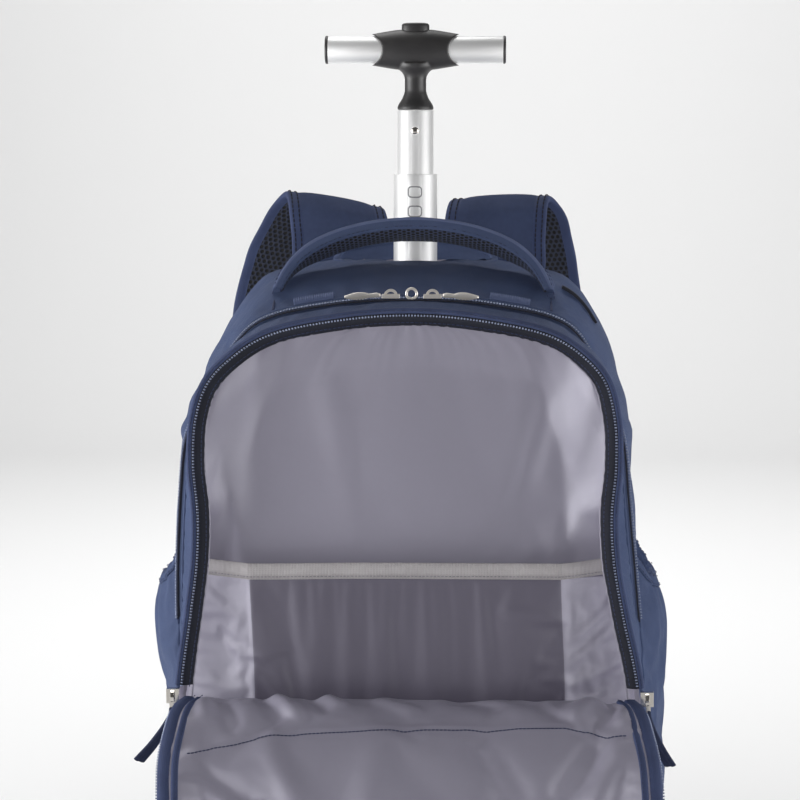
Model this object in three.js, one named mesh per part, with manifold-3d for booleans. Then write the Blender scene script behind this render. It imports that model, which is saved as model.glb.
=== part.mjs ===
// A wheeled backpack that stands on two wheels and two feet. Its front compartment is unzipped, the
// front flap is folded down to the ground, and the single-pole handle is partly drawn out.
// Millimetres, +Z up, +X to the right seen from the front, +Y towards the wearer's back.
import * as THREE from "three";
import { mergeVertices } from "three/addons/utils/BufferGeometryUtils.js";
import Module from "manifold-3d";

const wasm = await Module();
wasm.setup();

// Clearances and sheet thicknesses
const gap = 0.3; // between pieces that are sewn or seated together
const seat = 0.6; // between a curved piece and the curved cloth that it lies on
const cloth = 2; // navy outer fabric with its backing
const liningCloth = 1.4; // grey lining and its foam
const outlineSteps = 52; // points round each outline of the bag

// The bag's body
const bagHalfWidth = 166;
const bagBottom = 24;
const bagTop = 493;
const frontDepth = 41; // from the open rim back to the main compartment
const mainDepth = 117; // from there back to the back panel
const backPad = 12; // padded back panel
const rimHalfWidth = 0.964 * bagHalfWidth;
const rimTop = 464;
const foldHeight = 198; // where the front flap folds over
const bucketBulge = 36; // how far the front stands out below the fold

// Depths, from the join between the two compartments
const joinY = 0;
const rimY = joinY - frontDepth;
const backY = joinY + mainDepth;
const backOuterY = backY + backPad;

// The telescoping handle
const poleSetback = 21; // from the pole's centre to the back panel
const poleY = backY - poleSetback;
const tubeWall = 1.3;
const tubeClearance = 1.5; // radial, between one tube and the next
const innerTubeRadius = 13.1;
const innerTubeLength = 270;
const middleTubeLength = 290;
const middleTubeTop = bagTop + 60;
const innerTubeDrawn = 46; // inner tube showing above the middle one
const baseTubeTop = bagTop - 25;
const glideHeight = 14;
const slotHalfWidth = 56;
const slotHalfDepth = 18.6;

// The T-shaped grip
const gripHeight = 43.5; // from the top of the inner tube to the grip's axis
const gripHalfLength = 65.5;
const barRadius = 9.8;
const hubHalfLength = 32;
const hubHalfHeight = 15;
const hubHalfDepth = 13.5;
const neckRadius = 7.8;
const scallopRadius = 12;
const scallopCentre = 36;
const plugLength = 9;
const capThickness = 2;
const barStart = 14; // inner end of each grip bar, inside the hub
const buttonHalfWidth = 10;
const buttonHalfDepth = 6.5;
const buttonRise = 4.4;
const buttonDepth = 7;
const buttonTravel = 3;
const catchRadius = 2.7;
const catchDome = 1.1;
const catchDrop = 14.5; // below the top of the inner tube
const catchLength = 7;
const windowWidth = 9.4;
const windowHeight = 7.2;
const windowDrops = [12.6, 26.6]; // below the top of the middle tube

// The base and its wheels
const wheelRadius = 30;
const wheelWidth = 24;
const wheelX = bagHalfWidth - 32;
const wheelY = backY - 7;
const axleRadius = 3;
const tyreThickness = 8;
const wellWall = 3;
const wellClearance = 4;
const trayFloor = 4;
const footHeight = 18;
const footX = wheelX - 22;

// Cloth pieces
const sleeveTop = foldHeight + 0.342 * (rimTop - foldHeight);
const sleeveStand = 24; // how far the inner sleeve stands off the lining
const sleeveFlatHalf = 0.675 * rimHalfWidth;
const flapReach = 186; // how far the flap's route runs forward
const flapCloth = 2.6;
const flapLip = 9; // how far its edge stands up
const flapDrift = 10; // how far its end lies to the right
const bindingHeight = 11;
const pocketTop = 290;
const pocketSag = 22; // how far its hem hangs below its seams
const pocketBottom = 74;
const pocketBulge = 15;
const pocketHem = 9;
const pocketCloth = 1.5;
const hemCloth = 2.6; // doubled cloth of a hem
const zipWidth = 10;
const mainZipFoot = 242;
const tapeWidth = 9;
const coilRadius = 1.5;
const coilRise = 1;
const tapeCloth = 1;
const bailLength = 13;
const pullerCloth = 2.6;
const ringRadius = 4.8;
const handleHalfSpan = 0.584 * bagHalfWidth;
const handleRise = 42;
const handleWidth = 31;
const handleThickness = 12;
const handleLean = 0.3; // how far the arch leans back for each unit of height
const strapWidth = 76;
const strapThickness = 11;
const strapFoot = 205; // lower end of the padded part
const strapBow = 46; // how far the strap bows away from the back
const strapRootX = 0.35 * bagHalfWidth;
const anchorX = bagHalfWidth - 28; // where the webbing is sewn to the bag's lower corner
const strapFootX = anchorX - 20;
const webbingWidth = 25;
const webbingThickness = 1.6;
const buckleBar = 3;
const buckleLength = 24;
const anchorZ = 96;

const navy = new THREE.MeshStandardMaterial({ color: 0x34405f, roughness: 0.75 });
const navyDark = new THREE.MeshStandardMaterial({ color: 0x1c2236, roughness: 0.85 });
const mesh3d = new THREE.MeshStandardMaterial({ color: 0x141824, roughness: 0.95 });
const grey = new THREE.MeshStandardMaterial({ color: 0x8d8a98, roughness: 0.55 });
const greyTape = new THREE.MeshStandardMaterial({ color: 0xa7a4a8, roughness: 0.8 });
const blackPlastic = new THREE.MeshStandardMaterial({ color: 0x2b2b2d, roughness: 0.5 });
const rubber = new THREE.MeshStandardMaterial({ color: 0x1b1b1c, roughness: 0.9 });
const aluminium = new THREE.MeshStandardMaterial({ color: 0xd2d3d6, roughness: 0.3, metalness: 1 });
const chrome = new THREE.MeshStandardMaterial({ color: 0xcfcac4, roughness: 0.12, metalness: 1 });

// Half outlines from the top centre to the bottom centre, as shares of the half width and height.
const rimOutline = [
  { x: 0, z: 1 },
  { x: 0.3, z: 0.992 },
  { x: 0.61, z: 0.967 },
  { x: 0.76, z: 0.933 },
  { x: 0.86, z: 0.892 },
  { x: 0.91, z: 0.833 },
  { x: 0.92, z: 0.758 },
  { x: 0.903, z: 0.683 },
  { x: 0.91, z: 0.612 },
  { x: 0.945, z: 0.527 },
  { x: 1, z: 0.411 },
  { x: 1.02, z: 0.26 },
  { x: 1, z: 0.1 },
  { x: 0.93, z: 0.018 },
  { x: 0.8, z: 0 },
  { x: 0, z: 0 },
];
const bodyOutline = [
  { x: 0, z: 1 },
  { x: 0.35, z: 0.992 },
  { x: 0.66, z: 0.962 },
  { x: 0.785, z: 0.905 },
  { x: 0.88, z: 0.834 },
  { x: 0.93, z: 0.782 },
  { x: 0.957, z: 0.686 },
  { x: 0.98, z: 0.565 },
  { x: 1, z: 0.384 },
  { x: 1, z: 0.15 },
  { x: 0.98, z: 0.045 },
  { x: 0.9, z: 0.004 },
  { x: 0.78, z: 0 },
  { x: 0, z: 0 },
];

// Sections of the bag from the rim to the back: depth as a share of its compartment, width of the
// bag's or rim's half width, top of the height above the bag's bottom.
const bagHeight = bagTop - bagBottom;
const bodySections = [
  { y: rimY, half: rimHalfWidth, top: rimTop, outline: rimOutline },
  { y: joinY - 0.45 * frontDepth, half: 0.957 * bagHalfWidth, top: rimTop + 2, outline: rimOutline },
  { y: joinY, half: 0.975 * bagHalfWidth, top: bagBottom + 0.939 * bagHeight, outline: bodyOutline },
  { y: joinY + 0.24 * mainDepth, half: 0.99 * bagHalfWidth, top: bagBottom + 0.958 * bagHeight, outline: bodyOutline },
  { y: joinY + 0.52 * mainDepth, half: bagHalfWidth, top: bagBottom + 0.98 * bagHeight, outline: bodyOutline },
  { y: joinY + 0.8 * mainDepth, half: 0.99 * bagHalfWidth, top: bagTop, outline: bodyOutline },
  { y: backY, half: 0.965 * bagHalfWidth, top: bagTop - 3, outline: bodyOutline },
].map((s) => ({ y: s.y, loop: archLoop(s.outline, s.half, s.top) }));

function archLoop(shares, halfWidth, top) {
  const height = top - bagBottom;
  const right = shares.map((p) => new THREE.Vector3(p.x * halfWidth, 0, bagBottom + p.z * height));
  const left = right.slice(1, -1).map((p) => new THREE.Vector3(-p.x, 0, p.z)).reverse();
  const curve = new THREE.CatmullRomCurve3([...right, ...left], true, "centripetal");
  curve.arcLengthDivisions = 1200;
  const points = curve.getSpacedPoints(outlineSteps).slice(0, -1);
  return points.map((p) => p.setZ(Math.max(p.z, bagBottom)));
}

// The bag's outline at any depth, straight between its sections, and at a distance outside it.
function loopAt(y, out = 0) {
  const last = bodySections.length - 1;
  const next = bodySections.findIndex((s) => s.y >= y);
  const b = Math.max(1, next < 0 ? last : next);
  const [from, to] = [bodySections[b - 1], bodySections[b]];
  const share = (y - from.y) / (to.y - from.y);
  const far = inset(to.loop, -out);
  return inset(from.loop, -out).map((p, i) => p.lerp(far[i], share).setY(y));
}

function inset(loop, distance, y = loop[0].y) {
  return loop.map((p, i) => {
    const before = loop[(i + loop.length - 1) % loop.length];
    const after = loop[(i + 1) % loop.length];
    const run = Math.hypot(after.x - before.x, after.z - before.z);
    const nx = (after.z - before.z) / run;
    const nz = -(after.x - before.x) / run;
    return new THREE.Vector3(p.x + nx * distance, y, p.z + nz * distance);
  });
}

// Half width of an outline at a height.
function halfWidthAt(loop, z) {
  const half = loop.slice(0, loop.length / 2 + 1);
  const i = half.findIndex((p, k) => k > 0 && p.z <= z && half[k - 1].z >= z);
  if (i < 0) return 0;
  const [a, b] = [half[i - 1], half[i]];
  return a.z === b.z ? Math.max(a.x, b.x) : a.x + ((b.x - a.x) * (z - a.z)) / (b.z - a.z);
}

const sideX = (y, z) => halfWidthAt(loopAt(y), z);

// Height of an outline's upper half at a distance from the middle.
function heightAt(loop, x) {
  const half = loop.slice(0, loop.length / 2 + 1);
  const i = half.findIndex((p, k) => k > 0 && p.x >= Math.abs(x));
  const [a, b] = [half[Math.max(i - 1, 0)], half[Math.max(i, 1)]];
  return a.z + ((b.z - a.z) * (Math.abs(x) - a.x)) / (b.x - a.x);
}

function smooth(t) {
  const c = Math.min(1, Math.max(0, t));
  return c * c * (3 - 2 * c);
}

// Value of a hand-chosen table of { at, value } rows.
function tableAt(rows, at) {
  if (at <= rows[0].at) return rows[0].value;
  const i = rows.findIndex((r) => r.at >= at);
  if (i < 0) return rows[rows.length - 1].value;
  const [a, b] = [rows[i - 1], rows[i]];
  return a.value + ((b.value - a.value) * (at - a.at)) / (b.at - a.at);
}

// One closed body from points and triangles, turned so that its faces point out.
function closedBody(points, faces) {
  let volume = 0;
  for (const [a, b, c] of faces) {
    volume += points[a].dot(new THREE.Vector3().crossVectors(points[b], points[c]));
  }
  const turned = volume < 0 ? faces.map(([a, b, c]) => [a, c, b]) : faces;
  const geometry = new THREE.BufferGeometry();
  geometry.setAttribute("position", new THREE.Float32BufferAttribute(points.flatMap((p) => p.toArray()), 3));
  geometry.setIndex(turned.flat());
  return geometry;
}

// A body through closed rows of points. Its ends are fans, strips between two sides, or joined as a ring.
function loft(rows, ends = "fan") {
  const count = rows[0].length;
  const points = rows.flat();
  const faces = [];
  const spans = ends === "ring" ? rows.length : rows.length - 1;
  for (let r = 0; r < spans; r++) {
    const here = r * count;
    const next = ((r + 1) % rows.length) * count;
    for (let i = 0; i < count; i++) {
      const j = (i + 1) % count;
      faces.push([here + i, here + j, next + j], [here + i, next + j, next + i]);
    }
  }
  const lastRow = (rows.length - 1) * count;
  if (ends === "fan") {
    for (const [start, flip] of [[0, true], [lastRow, false]]) {
      const middle = new THREE.Vector3();
      for (let i = 0; i < count; i++) middle.addScaledVector(points[start + i], 1 / count);
      const hub = points.push(middle) - 1;
      for (let i = 0; i < count; i++) {
        const j = (i + 1) % count;
        faces.push(flip ? [hub, start + j, start + i] : [hub, start + i, start + j]);
      }
    }
  }
  if (ends === "strip") {
    for (const [start, flip] of [[0, true], [lastRow, false]]) {
      for (let i = 0; i < count / 2 - 1; i++) {
        const [a, b, c, d] = [i, i + 1, count - 2 - i, count - 1 - i].map((k) => start + k);
        faces.push(flip ? [a, c, b] : [a, b, c], flip ? [a, d, c] : [a, c, d]);
      }
    }
  }
  return closedBody(points, faces);
}

// Cloth between two grids of points with the same rows and columns.
const sheetBetween = (front, back) => loft(front.map((row, r) => [...row, ...[...back[r]].reverse()]), "strip");

// Cloth of one thickness behind a grid of points; keep() may hold a point back from a neighbour.
function sheet(grid, thickness, keep = (p) => p) {
  const at = (r, c) => grid[Math.min(grid.length - 1, Math.max(0, r))][Math.min(grid[0].length - 1, Math.max(0, c))];
  const back = grid.map((row, r) =>
    row.map((p, c) => {
      const along = at(r + 1, c).clone().sub(at(r - 1, c));
      const across = at(r, c + 1).clone().sub(at(r, c - 1));
      const normal = along.cross(across).normalize();
      return keep(p.clone().addScaledVector(normal, thickness));
    }),
  );
  return sheetBetween(grid, back);
}

function toSolid(geometry) {
  const flat = geometry.index ? geometry.toNonIndexed() : geometry.clone();
  const bare = new THREE.BufferGeometry().setAttribute("position", flat.getAttribute("position"));
  const merged = mergeVertices(bare, 1e-4);
  return new wasm.Manifold(
    new wasm.Mesh({
      numProp: 3,
      vertProperties: merged.attributes.position.array,
      triVerts: new Uint32Array(merged.index.array),
    }),
  );
}

function toGeometry(solid) {
  const made = solid.getMesh();
  return new THREE.BufferGeometry()
    .setAttribute("position", new THREE.BufferAttribute(made.vertProperties, 3))
    .setIndex(new THREE.BufferAttribute(made.triVerts, 1));
}

const cut = (geometry, ...tools) =>
  toGeometry(tools.reduce((rest, tool) => rest.subtract(toSolid(tool)), toSolid(geometry)));
const join = (...parts) => toGeometry(parts.map(toSolid).reduce((all, part) => all.add(part)));

function box(low, high) {
  const size = high.map((v, i) => v - low[i]);
  return new THREE.BoxGeometry(...size).translate(...high.map((v, i) => (v + low[i]) / 2));
}

// A cylinder along Z, from a height up.
const upright = (radius, length, steps, z = 0) =>
  new THREE.CylinderGeometry(radius, radius, length, steps).rotateX(Math.PI / 2).translate(0, 0, z + length / 2);

// A tube along Z with its own wall, and a wider glide at its foot.
function tubeProfile(radius, length, foot) {
  const inside = radius - tubeWall;
  const profile = foot
    ? [[inside, 0], [foot, 0], [foot, glideHeight], [radius, glideHeight], [radius, length], [inside, length]]
    : [[inside, 0], [radius, 0], [radius, length], [inside, length]];
  const points = [...profile, profile[0]].map(([r, z]) => new THREE.Vector2(r, z));
  return new THREE.LatheGeometry(points, 24).rotateX(Math.PI / 2);
}

const bag = new THREE.Group();

function add(name, geometry, material, position) {
  const mesh = new THREE.Mesh(geometry, material);
  mesh.name = name;
  if (position) mesh.position.set(...position);
  bag.add(mesh);
  return mesh;
}

const sides = [
  { name: "left", s: -1 },
  { name: "right", s: 1 },
];

// The room that each wheel well takes out of the bag's lower rear corners.
const wellInner = wheelX - wheelWidth / 2 - wellClearance - wellWall;
const wellFront = wheelY - wheelRadius - wellClearance - wellWall;
const wellTop = 2 * wheelRadius + wellClearance + wellWall;
const wellBoxes = (margin) =>
  sides.map(({ s }) => {
    const [near, far] = [s * (wellInner - margin), s * 1.4 * bagHalfWidth];
    const low = [Math.min(near, far), wellFront - margin, -wheelRadius];
    return box(low, [Math.max(near, far), backOuterY + 2 * wheelRadius, wellTop + margin]);
  });

function wallRing(ys, thickness) {
  const outer = ys.map((y) => loopAt(y));
  const inner = ys.map((y) => loopAt(y, -thickness));
  return loft([...outer, ...inner.reverse()], "ring");
}

function makeMainShell() {
  const ys = [joinY + gap / 2, ...bodySections.map((s) => s.y).filter((y) => y > joinY && y < backY), backY - gap];
  const slot = upright(1, bagHeight / 2, 24, bagBottom + 0.7 * bagHeight);
  slot.scale(slotHalfWidth, slotHalfDepth, 1).translate(0, poleY, 0);
  add("main_shell", cut(wallRing(ys, cloth), slot, ...wellBoxes(gap)), navy);
}

// The welt stands round the slot and follows the slope of the bag's top.
function makeSlotWelt() {
  const height = 3.2;
  const width = 4.5;
  const steps = 24;
  const rows = Array.from({ length: steps }, (_, i) => {
    const a = (2 * Math.PI * i) / steps;
    const corner = (grow, up) => {
      const x = (slotHalfWidth + grow) * Math.cos(a);
      const y = poleY + (slotHalfDepth + 0.35 * grow) * Math.sin(a);
      return new THREE.Vector3(x, y, heightAt(loopAt(y), x) + up);
    };
    return [corner(0, seat), corner(width, seat), corner(width, height), corner(0, height)];
  });
  add("slot_welt", loft(rows, "ring"), navy);
}

function makeBackPanel() {
  const edge = loopAt(backY);
  const rows = [
    inset(edge, cloth, backY),
    inset(edge, 0, backY + 0.25 * backPad),
    inset(edge, 1, backY + 0.7 * backPad),
    inset(edge, 7, backOuterY),
  ];
  add("back_panel", cut(loft(rows), ...wellBoxes(gap)), mesh3d);
}

function makeFrontShell() {
  const ys = bodySections.map((s) => s.y).filter((y) => y < joinY);
  add("front_shell", wallRing([...ys, joinY - gap / 2], cloth), navy);
}

const dividerFront = joinY - gap - 2 * liningCloth;

function makeDivider() {
  const rows = [joinY - gap, dividerFront].map((y) => loopAt(y, -cloth - gap - seat));
  add("divider_panel", loft(rows), grey);
}

// Below the fold the front stands out as a bucket, closed below and at its sides.
const bucketRows = [
  { z: 0.004, out: 0 },
  { z: 0.04, out: 0.5 },
  { z: 0.13, out: 0.85 },
  { z: 0.3, out: 1 },
  { z: 0.52, out: 0.98 },
  { z: 0.72, out: 0.84 },
  { z: 0.88, out: 0.52 },
  { z: 1, out: 0.12 },
];
const bucketColumns = [
  { u: 0, out: 1 },
  { u: 0.5, out: 0.97 },
  { u: 0.8, out: 0.8 },
  { u: 0.94, out: 0.46 },
  { u: 1, out: 0 },
];
const mirrored = (rows) => [...rows.slice(1).reverse().map((r) => ({ ...r, u: -r.u })), ...rows];

function makeBucket() {
  const rim = loopAt(rimY);
  const front = rimY - gap;
  const grid = bucketRows.map((row) => {
    const z = bagBottom + row.z * (foldHeight - bagBottom);
    const half = halfWidthAt(rim, z);
    return mirrored(bucketColumns).map(
      (c) => new THREE.Vector3(c.u * half, front - bucketBulge * row.out * c.out, z),
    );
  });
  const keep = (p) => p.setY(Math.min(p.y, front));
  add("lower_front", sheet(grid, cloth, keep), navy);
}

// The sleeve on the lining: flat in front, with sides that fall back to the gusset.
const sleeveRows = [
  { z: 0.02, out: 0.06 },
  { z: 0.05, out: 0.5 },
  { z: 0.12, out: 0.8 },
  { z: 0.35, out: 0.92 },
  { z: 0.7, out: 1 },
  { z: 1, out: 1 },
];

function sleevePlan(z, out) {
  const back = dividerFront - gap;
  const half = halfWidthAt(loopAt(back - hemCloth, -cloth - seat), z);
  const knee = Math.min(sleeveFlatHalf, half - 20);
  const side = [
    [half, 0],
    [half - 10, 0.3],
    [knee + 4, 0.86],
    [knee - 5, 0.97],
    [knee / 2, 1],
    [0, 1],
  ];
  const all = [...side.map(([x, d]) => [-x, d]), ...side.slice(0, -1).reverse()];
  return all.map(([x, d]) => new THREE.Vector3(x, back - sleeveStand * out * d, z));
}

function makeSleeve() {
  const hemBottom = sleeveTop - bindingHeight;
  const height = hemBottom - gap - bagBottom;
  const rows = sleeveRows.map((r) => sleevePlan(bagBottom + r.z * height, r.out));
  const grow = (row, d) => row.map((p) => p.clone().setY(p.y - d));
  add("sleeve_pocket", sheetBetween(rows.map((r) => grow(r, liningCloth)), rows), grey);
  const hem = [hemBottom, sleeveTop].map((z) => sleevePlan(z, 1));
  add("sleeve_binding", sheetBetween(hem.map((r) => grow(r, hemCloth)), hem), greyTape);
}

// The flap: route of its middle line from the fold to the ground, as shares of its reach and drop.
const flapRoute = [
  { out: 0, up: 1 },
  { out: 0.1, up: 0.985 },
  { out: 0.23, up: 0.895 },
  { out: 0.36, up: 0.735 },
  { out: 0.45, up: 0.52 },
  { out: 0.51, up: 0.3 },
  { out: 0.56, up: 0.13 },
  { out: 0.61, up: 0.03 },
  { out: 0.67, up: 0 },
  { out: 0.8, up: 0 },
  { out: 1, up: 0 },
];
const flapRest = gap + flapCloth;
const flapCurve = new THREE.CatmullRomCurve3(
  flapRoute.map((p) => {
    const top = foldHeight + gap + flapCloth;
    return new THREE.Vector3(0, rimY - 4 - p.out * flapReach, flapRest + p.up * (top - flapRest));
  }),
  false,
  "centripetal",
);
const flapCurveLength = flapCurve.getLength();
const flapLength = rimTop - foldHeight;
const bandLift = 1.3; // from the flap's cloth to the band along its edge
const bandGap = 1.1; // from that band to the lining

// The flat flap: distance from the fold in the middle and at the edge, and half width there.
const flapRows = [
  { mid: 0, edge: 0, half: 0.965 },
  { mid: 0.07, edge: 0.07, half: 1 },
  { mid: 0.15, edge: 0.15, half: 1.018 },
  { mid: 0.27, edge: 0.27, half: 1.038 },
  { mid: 0.4, edge: 0.4, half: 1.034 },
  { mid: 0.53, edge: 0.525, half: 1.014 },
  { mid: 0.66, edge: 0.645, half: 0.985 },
  { mid: 0.79, edge: 0.755, half: 0.93 },
  { mid: 0.9, edge: 0.845, half: 0.855 },
  { mid: 1, edge: 0.92, half: 0.74 },
];
const flapColumns = [
  { share: 0, edge: 0 },
  { share: 0.5, edge: 0 },
  { share: 1, edge: 26 },
  { share: 1, edge: tapeWidth },
  { share: 1, edge: 0 },
];

// From the flat flap to its place: x, distance from the fold, and height above the cloth.
function flapPoint(x, s, height) {
  const share = Math.min(1, s / flapCurveLength);
  const p = flapCurve.getPointAt(share);
  const t = flapCurve.getTangentAt(share);
  const drift = flapDrift * smooth(s / flapLength);
  return new THREE.Vector3(x + drift, p.y + t.z * height, p.z - t.y * height);
}

// Grid of flat points and their rise: the flap is a shallow dish with a raised edge.
function flapGrid() {
  const rows = flapRows.map((r) => ({ ...r, mid: r.mid * flapLength, edge: r.edge * flapLength }));
  const end = rows[rows.length - 1];
  rows.splice(-1, 0, { mid: end.mid - tapeWidth, edge: end.edge - tapeWidth, half: end.half + 0.02 });
  return rows.map((row, r) => {
    const half = row.half * rimHalfWidth;
    const ending = r >= rows.length - 2 ? 0.25 : 0;
    const right = flapColumns.map(({ share, edge }) => {
      const x = share * half - edge;
      const u = x / half;
      const beside = edge < 26 && share === 1 ? 1 : 0;
      const rise = flapLip * Math.max(beside, ending) * smooth(row.mid / (0.3 * flapLength));
      return { x, s: row.mid + (row.edge - row.mid) * u * u, rise };
    });
    return [...right.slice(1).reverse().map((p) => ({ ...p, x: -p.x })), ...right];
  });
}

function makeFlap() {
  const grid = flapGrid();
  const place = (rows, lift) => rows.map((row) => row.map((p) => flapPoint(p.x, p.s, p.rise + lift)));
  add("front_flap", sheetBetween(place(grid, 0), place(grid, -flapCloth)), navy);
  const toward = (p, q, d) => {
    const share = d / Math.hypot(q.x - p.x, q.s - p.s);
    return { x: p.x + (q.x - p.x) * share, s: p.s + (q.s - p.s) * share, rise: p.rise + (q.rise - p.rise) * share };
  };
  const inner = grid.slice(0, -1).map((row) => {
    const cells = row.slice(1, -1);
    const last = cells.length - 1;
    return cells.map((p, c) => (c === 0 ? toward(p, cells[1], bandGap) : c === last ? toward(p, cells[last - 1], bandGap) : p));
  });
  const close = inner.length - 1;
  inner[close] = inner[close].map((p, c) => toward(p, inner[close - 1][c], bandGap));
  add("flap_lining", sheetBetween(place(inner, seat), place(inner, seat + liningCloth)), grey);
  makeFlapBand(grid);
}

// The band along the flap's edge, from the fold round its end and back to the fold.
function makeFlapBand(grid) {
  const end = grid.length - 1;
  const last = grid[0].length - 1;
  const between = (a, b, share) => ({
    x: a.x + (b.x - a.x) * share,
    s: a.s + (b.s - a.s) * share,
    rise: a.rise + (b.rise - a.rise) * share,
  });
  const corner = grid[end - 1][last - 1];
  const sideRun = grid.slice(0, end - 1).map((row) => [row[last], row[last - 1]]);
  const turn = [
    [grid[end - 1][last], between(corner, grid[end - 2][last - 1], 0.25)],
    [grid[end][last], corner],
    [grid[end][last - 1], between(corner, grid[end - 1][last - 2], 0.15)],
  ];
  const middle = last / 2;
  const endRun = grid[end].map((p, c) => [p, grid[end - 1][c]]).slice(middle, last - 1).reverse();
  const half = [...sideRun, ...turn, ...endRun];
  const mirror = (p) => ({ ...p, x: -p.x });
  const run = [...half, ...half.slice(0, -1).reverse().map(([a, b]) => [mirror(a), mirror(b)])];
  const rows = run.map(([outer, inner]) => {
    const at = (p, lift) => flapPoint(p.x, p.s, p.rise + lift);
    const [low, high] = [bandLift, bandLift + 1.4];
    return [at(inner, low), at(outer, low), at(outer, high), at(between(outer, inner, 0.5), high + 1), at(inner, high)];
  });
  add("flap_band", loft(rows), navy);
}

// Place on an outline's right half, as a part count of its points, at a height.
function placeAt(loop, z) {
  const i = loop.findIndex((p, k) => k > 0 && p.z <= z && loop[k - 1].z >= z);
  return i - 1 + (loop[i - 1].z - z) / (loop[i - 1].z - loop[i].z);
}

// Such a place and all the outline's own points up to another.
const placesBetween = (from, to) => {
  const first = Math.floor(from) + 1;
  const count = Math.ceil(to) - first;
  return [from, ...Array.from({ length: count }, (_, k) => first + k), to];
};

// A strip that lies on the bag between two such places; each corner is { y, out } from the cloth.
const onBag = (from, to, corners) => stripAt(corners.map((c) => loopAt(c.y, c.out)), from, to);

function stripAt(loops, from, to) {
  const rows = placesBetween(from, to).map((at) => {
    const i = Math.floor(at);
    return loops.map((loop) => loop.at(i).clone().lerp(loop.at((i + 1) % loop.length), at - i));
  });
  return loft(rows);
}

function makeZips() {
  const low = placeAt(loopAt(rimY), foldHeight + 6);
  const front = rimY - gap - tapeCloth;
  const rim = loopAt(rimY);
  const flat = (corners) => stripAt(corners.map((c) => inset(rim, -c.out, c.y)), -low, low);
  add("rim_tape", flat([
    { out: 0, y: front },
    { out: 0, y: rimY - gap },
    { out: -cloth - 1.5, y: rimY - gap },
    { out: -tapeWidth - 1.5, y: rimY + 5 },
    { out: -tapeWidth - 1.5, y: rimY + 5 - tapeCloth },
    { out: -cloth - 1.5, y: front },
  ]), navyDark);
  const coilY = front - gap - coilRadius;
  add("rim_coil", flat([
    { out: coilRadius - 1.6, y: coilY },
    { out: -1.6, y: coilY + coilRadius },
    { out: -coilRadius - 1.6, y: coilY },
    { out: -1.6, y: coilY - coilRadius },
  ]), navy);
  const middle = joinY + gap + zipWidth / 2;
  const foot = placeAt(loopAt(middle), mainZipFoot);
  const [flatOut, high] = [seat, seat + tapeCloth];
  add("main_zip", onBag(-foot, foot, [
    { out: flatOut, y: middle - zipWidth / 2 },
    { out: flatOut, y: middle + zipWidth / 2 },
    { out: high, y: middle + zipWidth / 2 },
    { out: high + coilRise, y: middle + coilRadius },
    { out: high + coilRise, y: middle - coilRadius },
    { out: high, y: middle - zipWidth / 2 },
  ]), navyDark);
}

// Side pockets: bulged cloth on the gusset, gathered by a hem that sags between its seams.
const pocketRows = [
  { z: 0, left: 0.1, right: 0.1 },
  { z: 0.07, left: 0.3, right: 0.5 },
  { z: 0.25, left: 0.38, right: 0.74 },
  { z: 0.48, left: 0.46, right: 0.84 },
  { z: 0.62, left: 0.74, right: 0.88 },
  { z: 0.76, left: 1, right: 0.94 },
  { z: 0.9, left: 1.02, right: 1.03 },
  { z: 1, left: 0.86, right: 0.92 },
];
const pocketColumns = [
  { y: 0, out: 0 },
  { y: 0.08, out: 0.5 },
  { y: 0.22, out: 0.86 },
  { y: 0.5, out: 1 },
  { y: 0.78, out: 0.86 },
  { y: 0.92, out: 0.5 },
  { y: 1, out: 0 },
];

// A row of the pocket at a share of its height; low and high are its ends at the seams.
function pocketRow(s, share, low, high, out, thickness) {
  const front = joinY + gap + zipWidth + seat;
  return pocketColumns.map((c) => {
    const y = front + c.y * (backY - 8 - front);
    const z = low + share * (high - pocketSag * c.out - low);
    return new THREE.Vector3(s * (sideX(y, z) + seat + thickness + pocketBulge * out * c.out), y, z);
  });
}

function makePockets() {
  const hemLow = pocketTop - pocketHem;
  for (const { name, s } of sides) {
    const bulge = (r) => r[name];
    const rows = (t) => pocketRows.map((r) => pocketRow(s, r.z, pocketBottom, hemLow - gap, bulge(r), t));
    add(`side_pocket_${name}`, sheetBetween(rows(pocketCloth), rows(0)), navy);
    const hem = (t) => [
      pocketRow(s, 1, pocketBottom, hemLow, 0.8, t),
      pocketRow(s, 1, pocketBottom, pocketTop, 0.56, t),
    ];
    add(`pocket_hem_${name}`, sheetBetween(hem(hemCloth), hem(0)), navy);
  }
}

// A rounded strip through stations of a middle point, a width direction and a half width.
function strip(stations, thickness) {
  const rows = stations.map((st, i) => {
    const before = stations[Math.max(0, i - 1)].at;
    const after = stations[Math.min(stations.length - 1, i + 1)].at;
    const along = after.clone().sub(before).normalize();
    const normal = along.clone().cross(st.across).normalize();
    const across = normal.clone().cross(along).normalize().lerp(st.across, st.keep ?? 0).normalize();
    const [a, b] = [st.half, thickness / 2];
    const edge = Math.min(b, 0.3 * a);
    const corners = [[a, -0.4], [a - edge, -1], [edge - a, -1], [-a, -0.4], [-a, 0.4], [edge - a, 1], [a - edge, 1], [a, 0.4]];
    return corners.map(([w, n]) => st.at.clone().addScaledVector(across, w).addScaledVector(normal, n * b));
  });
  return loft(rows);
}

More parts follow.
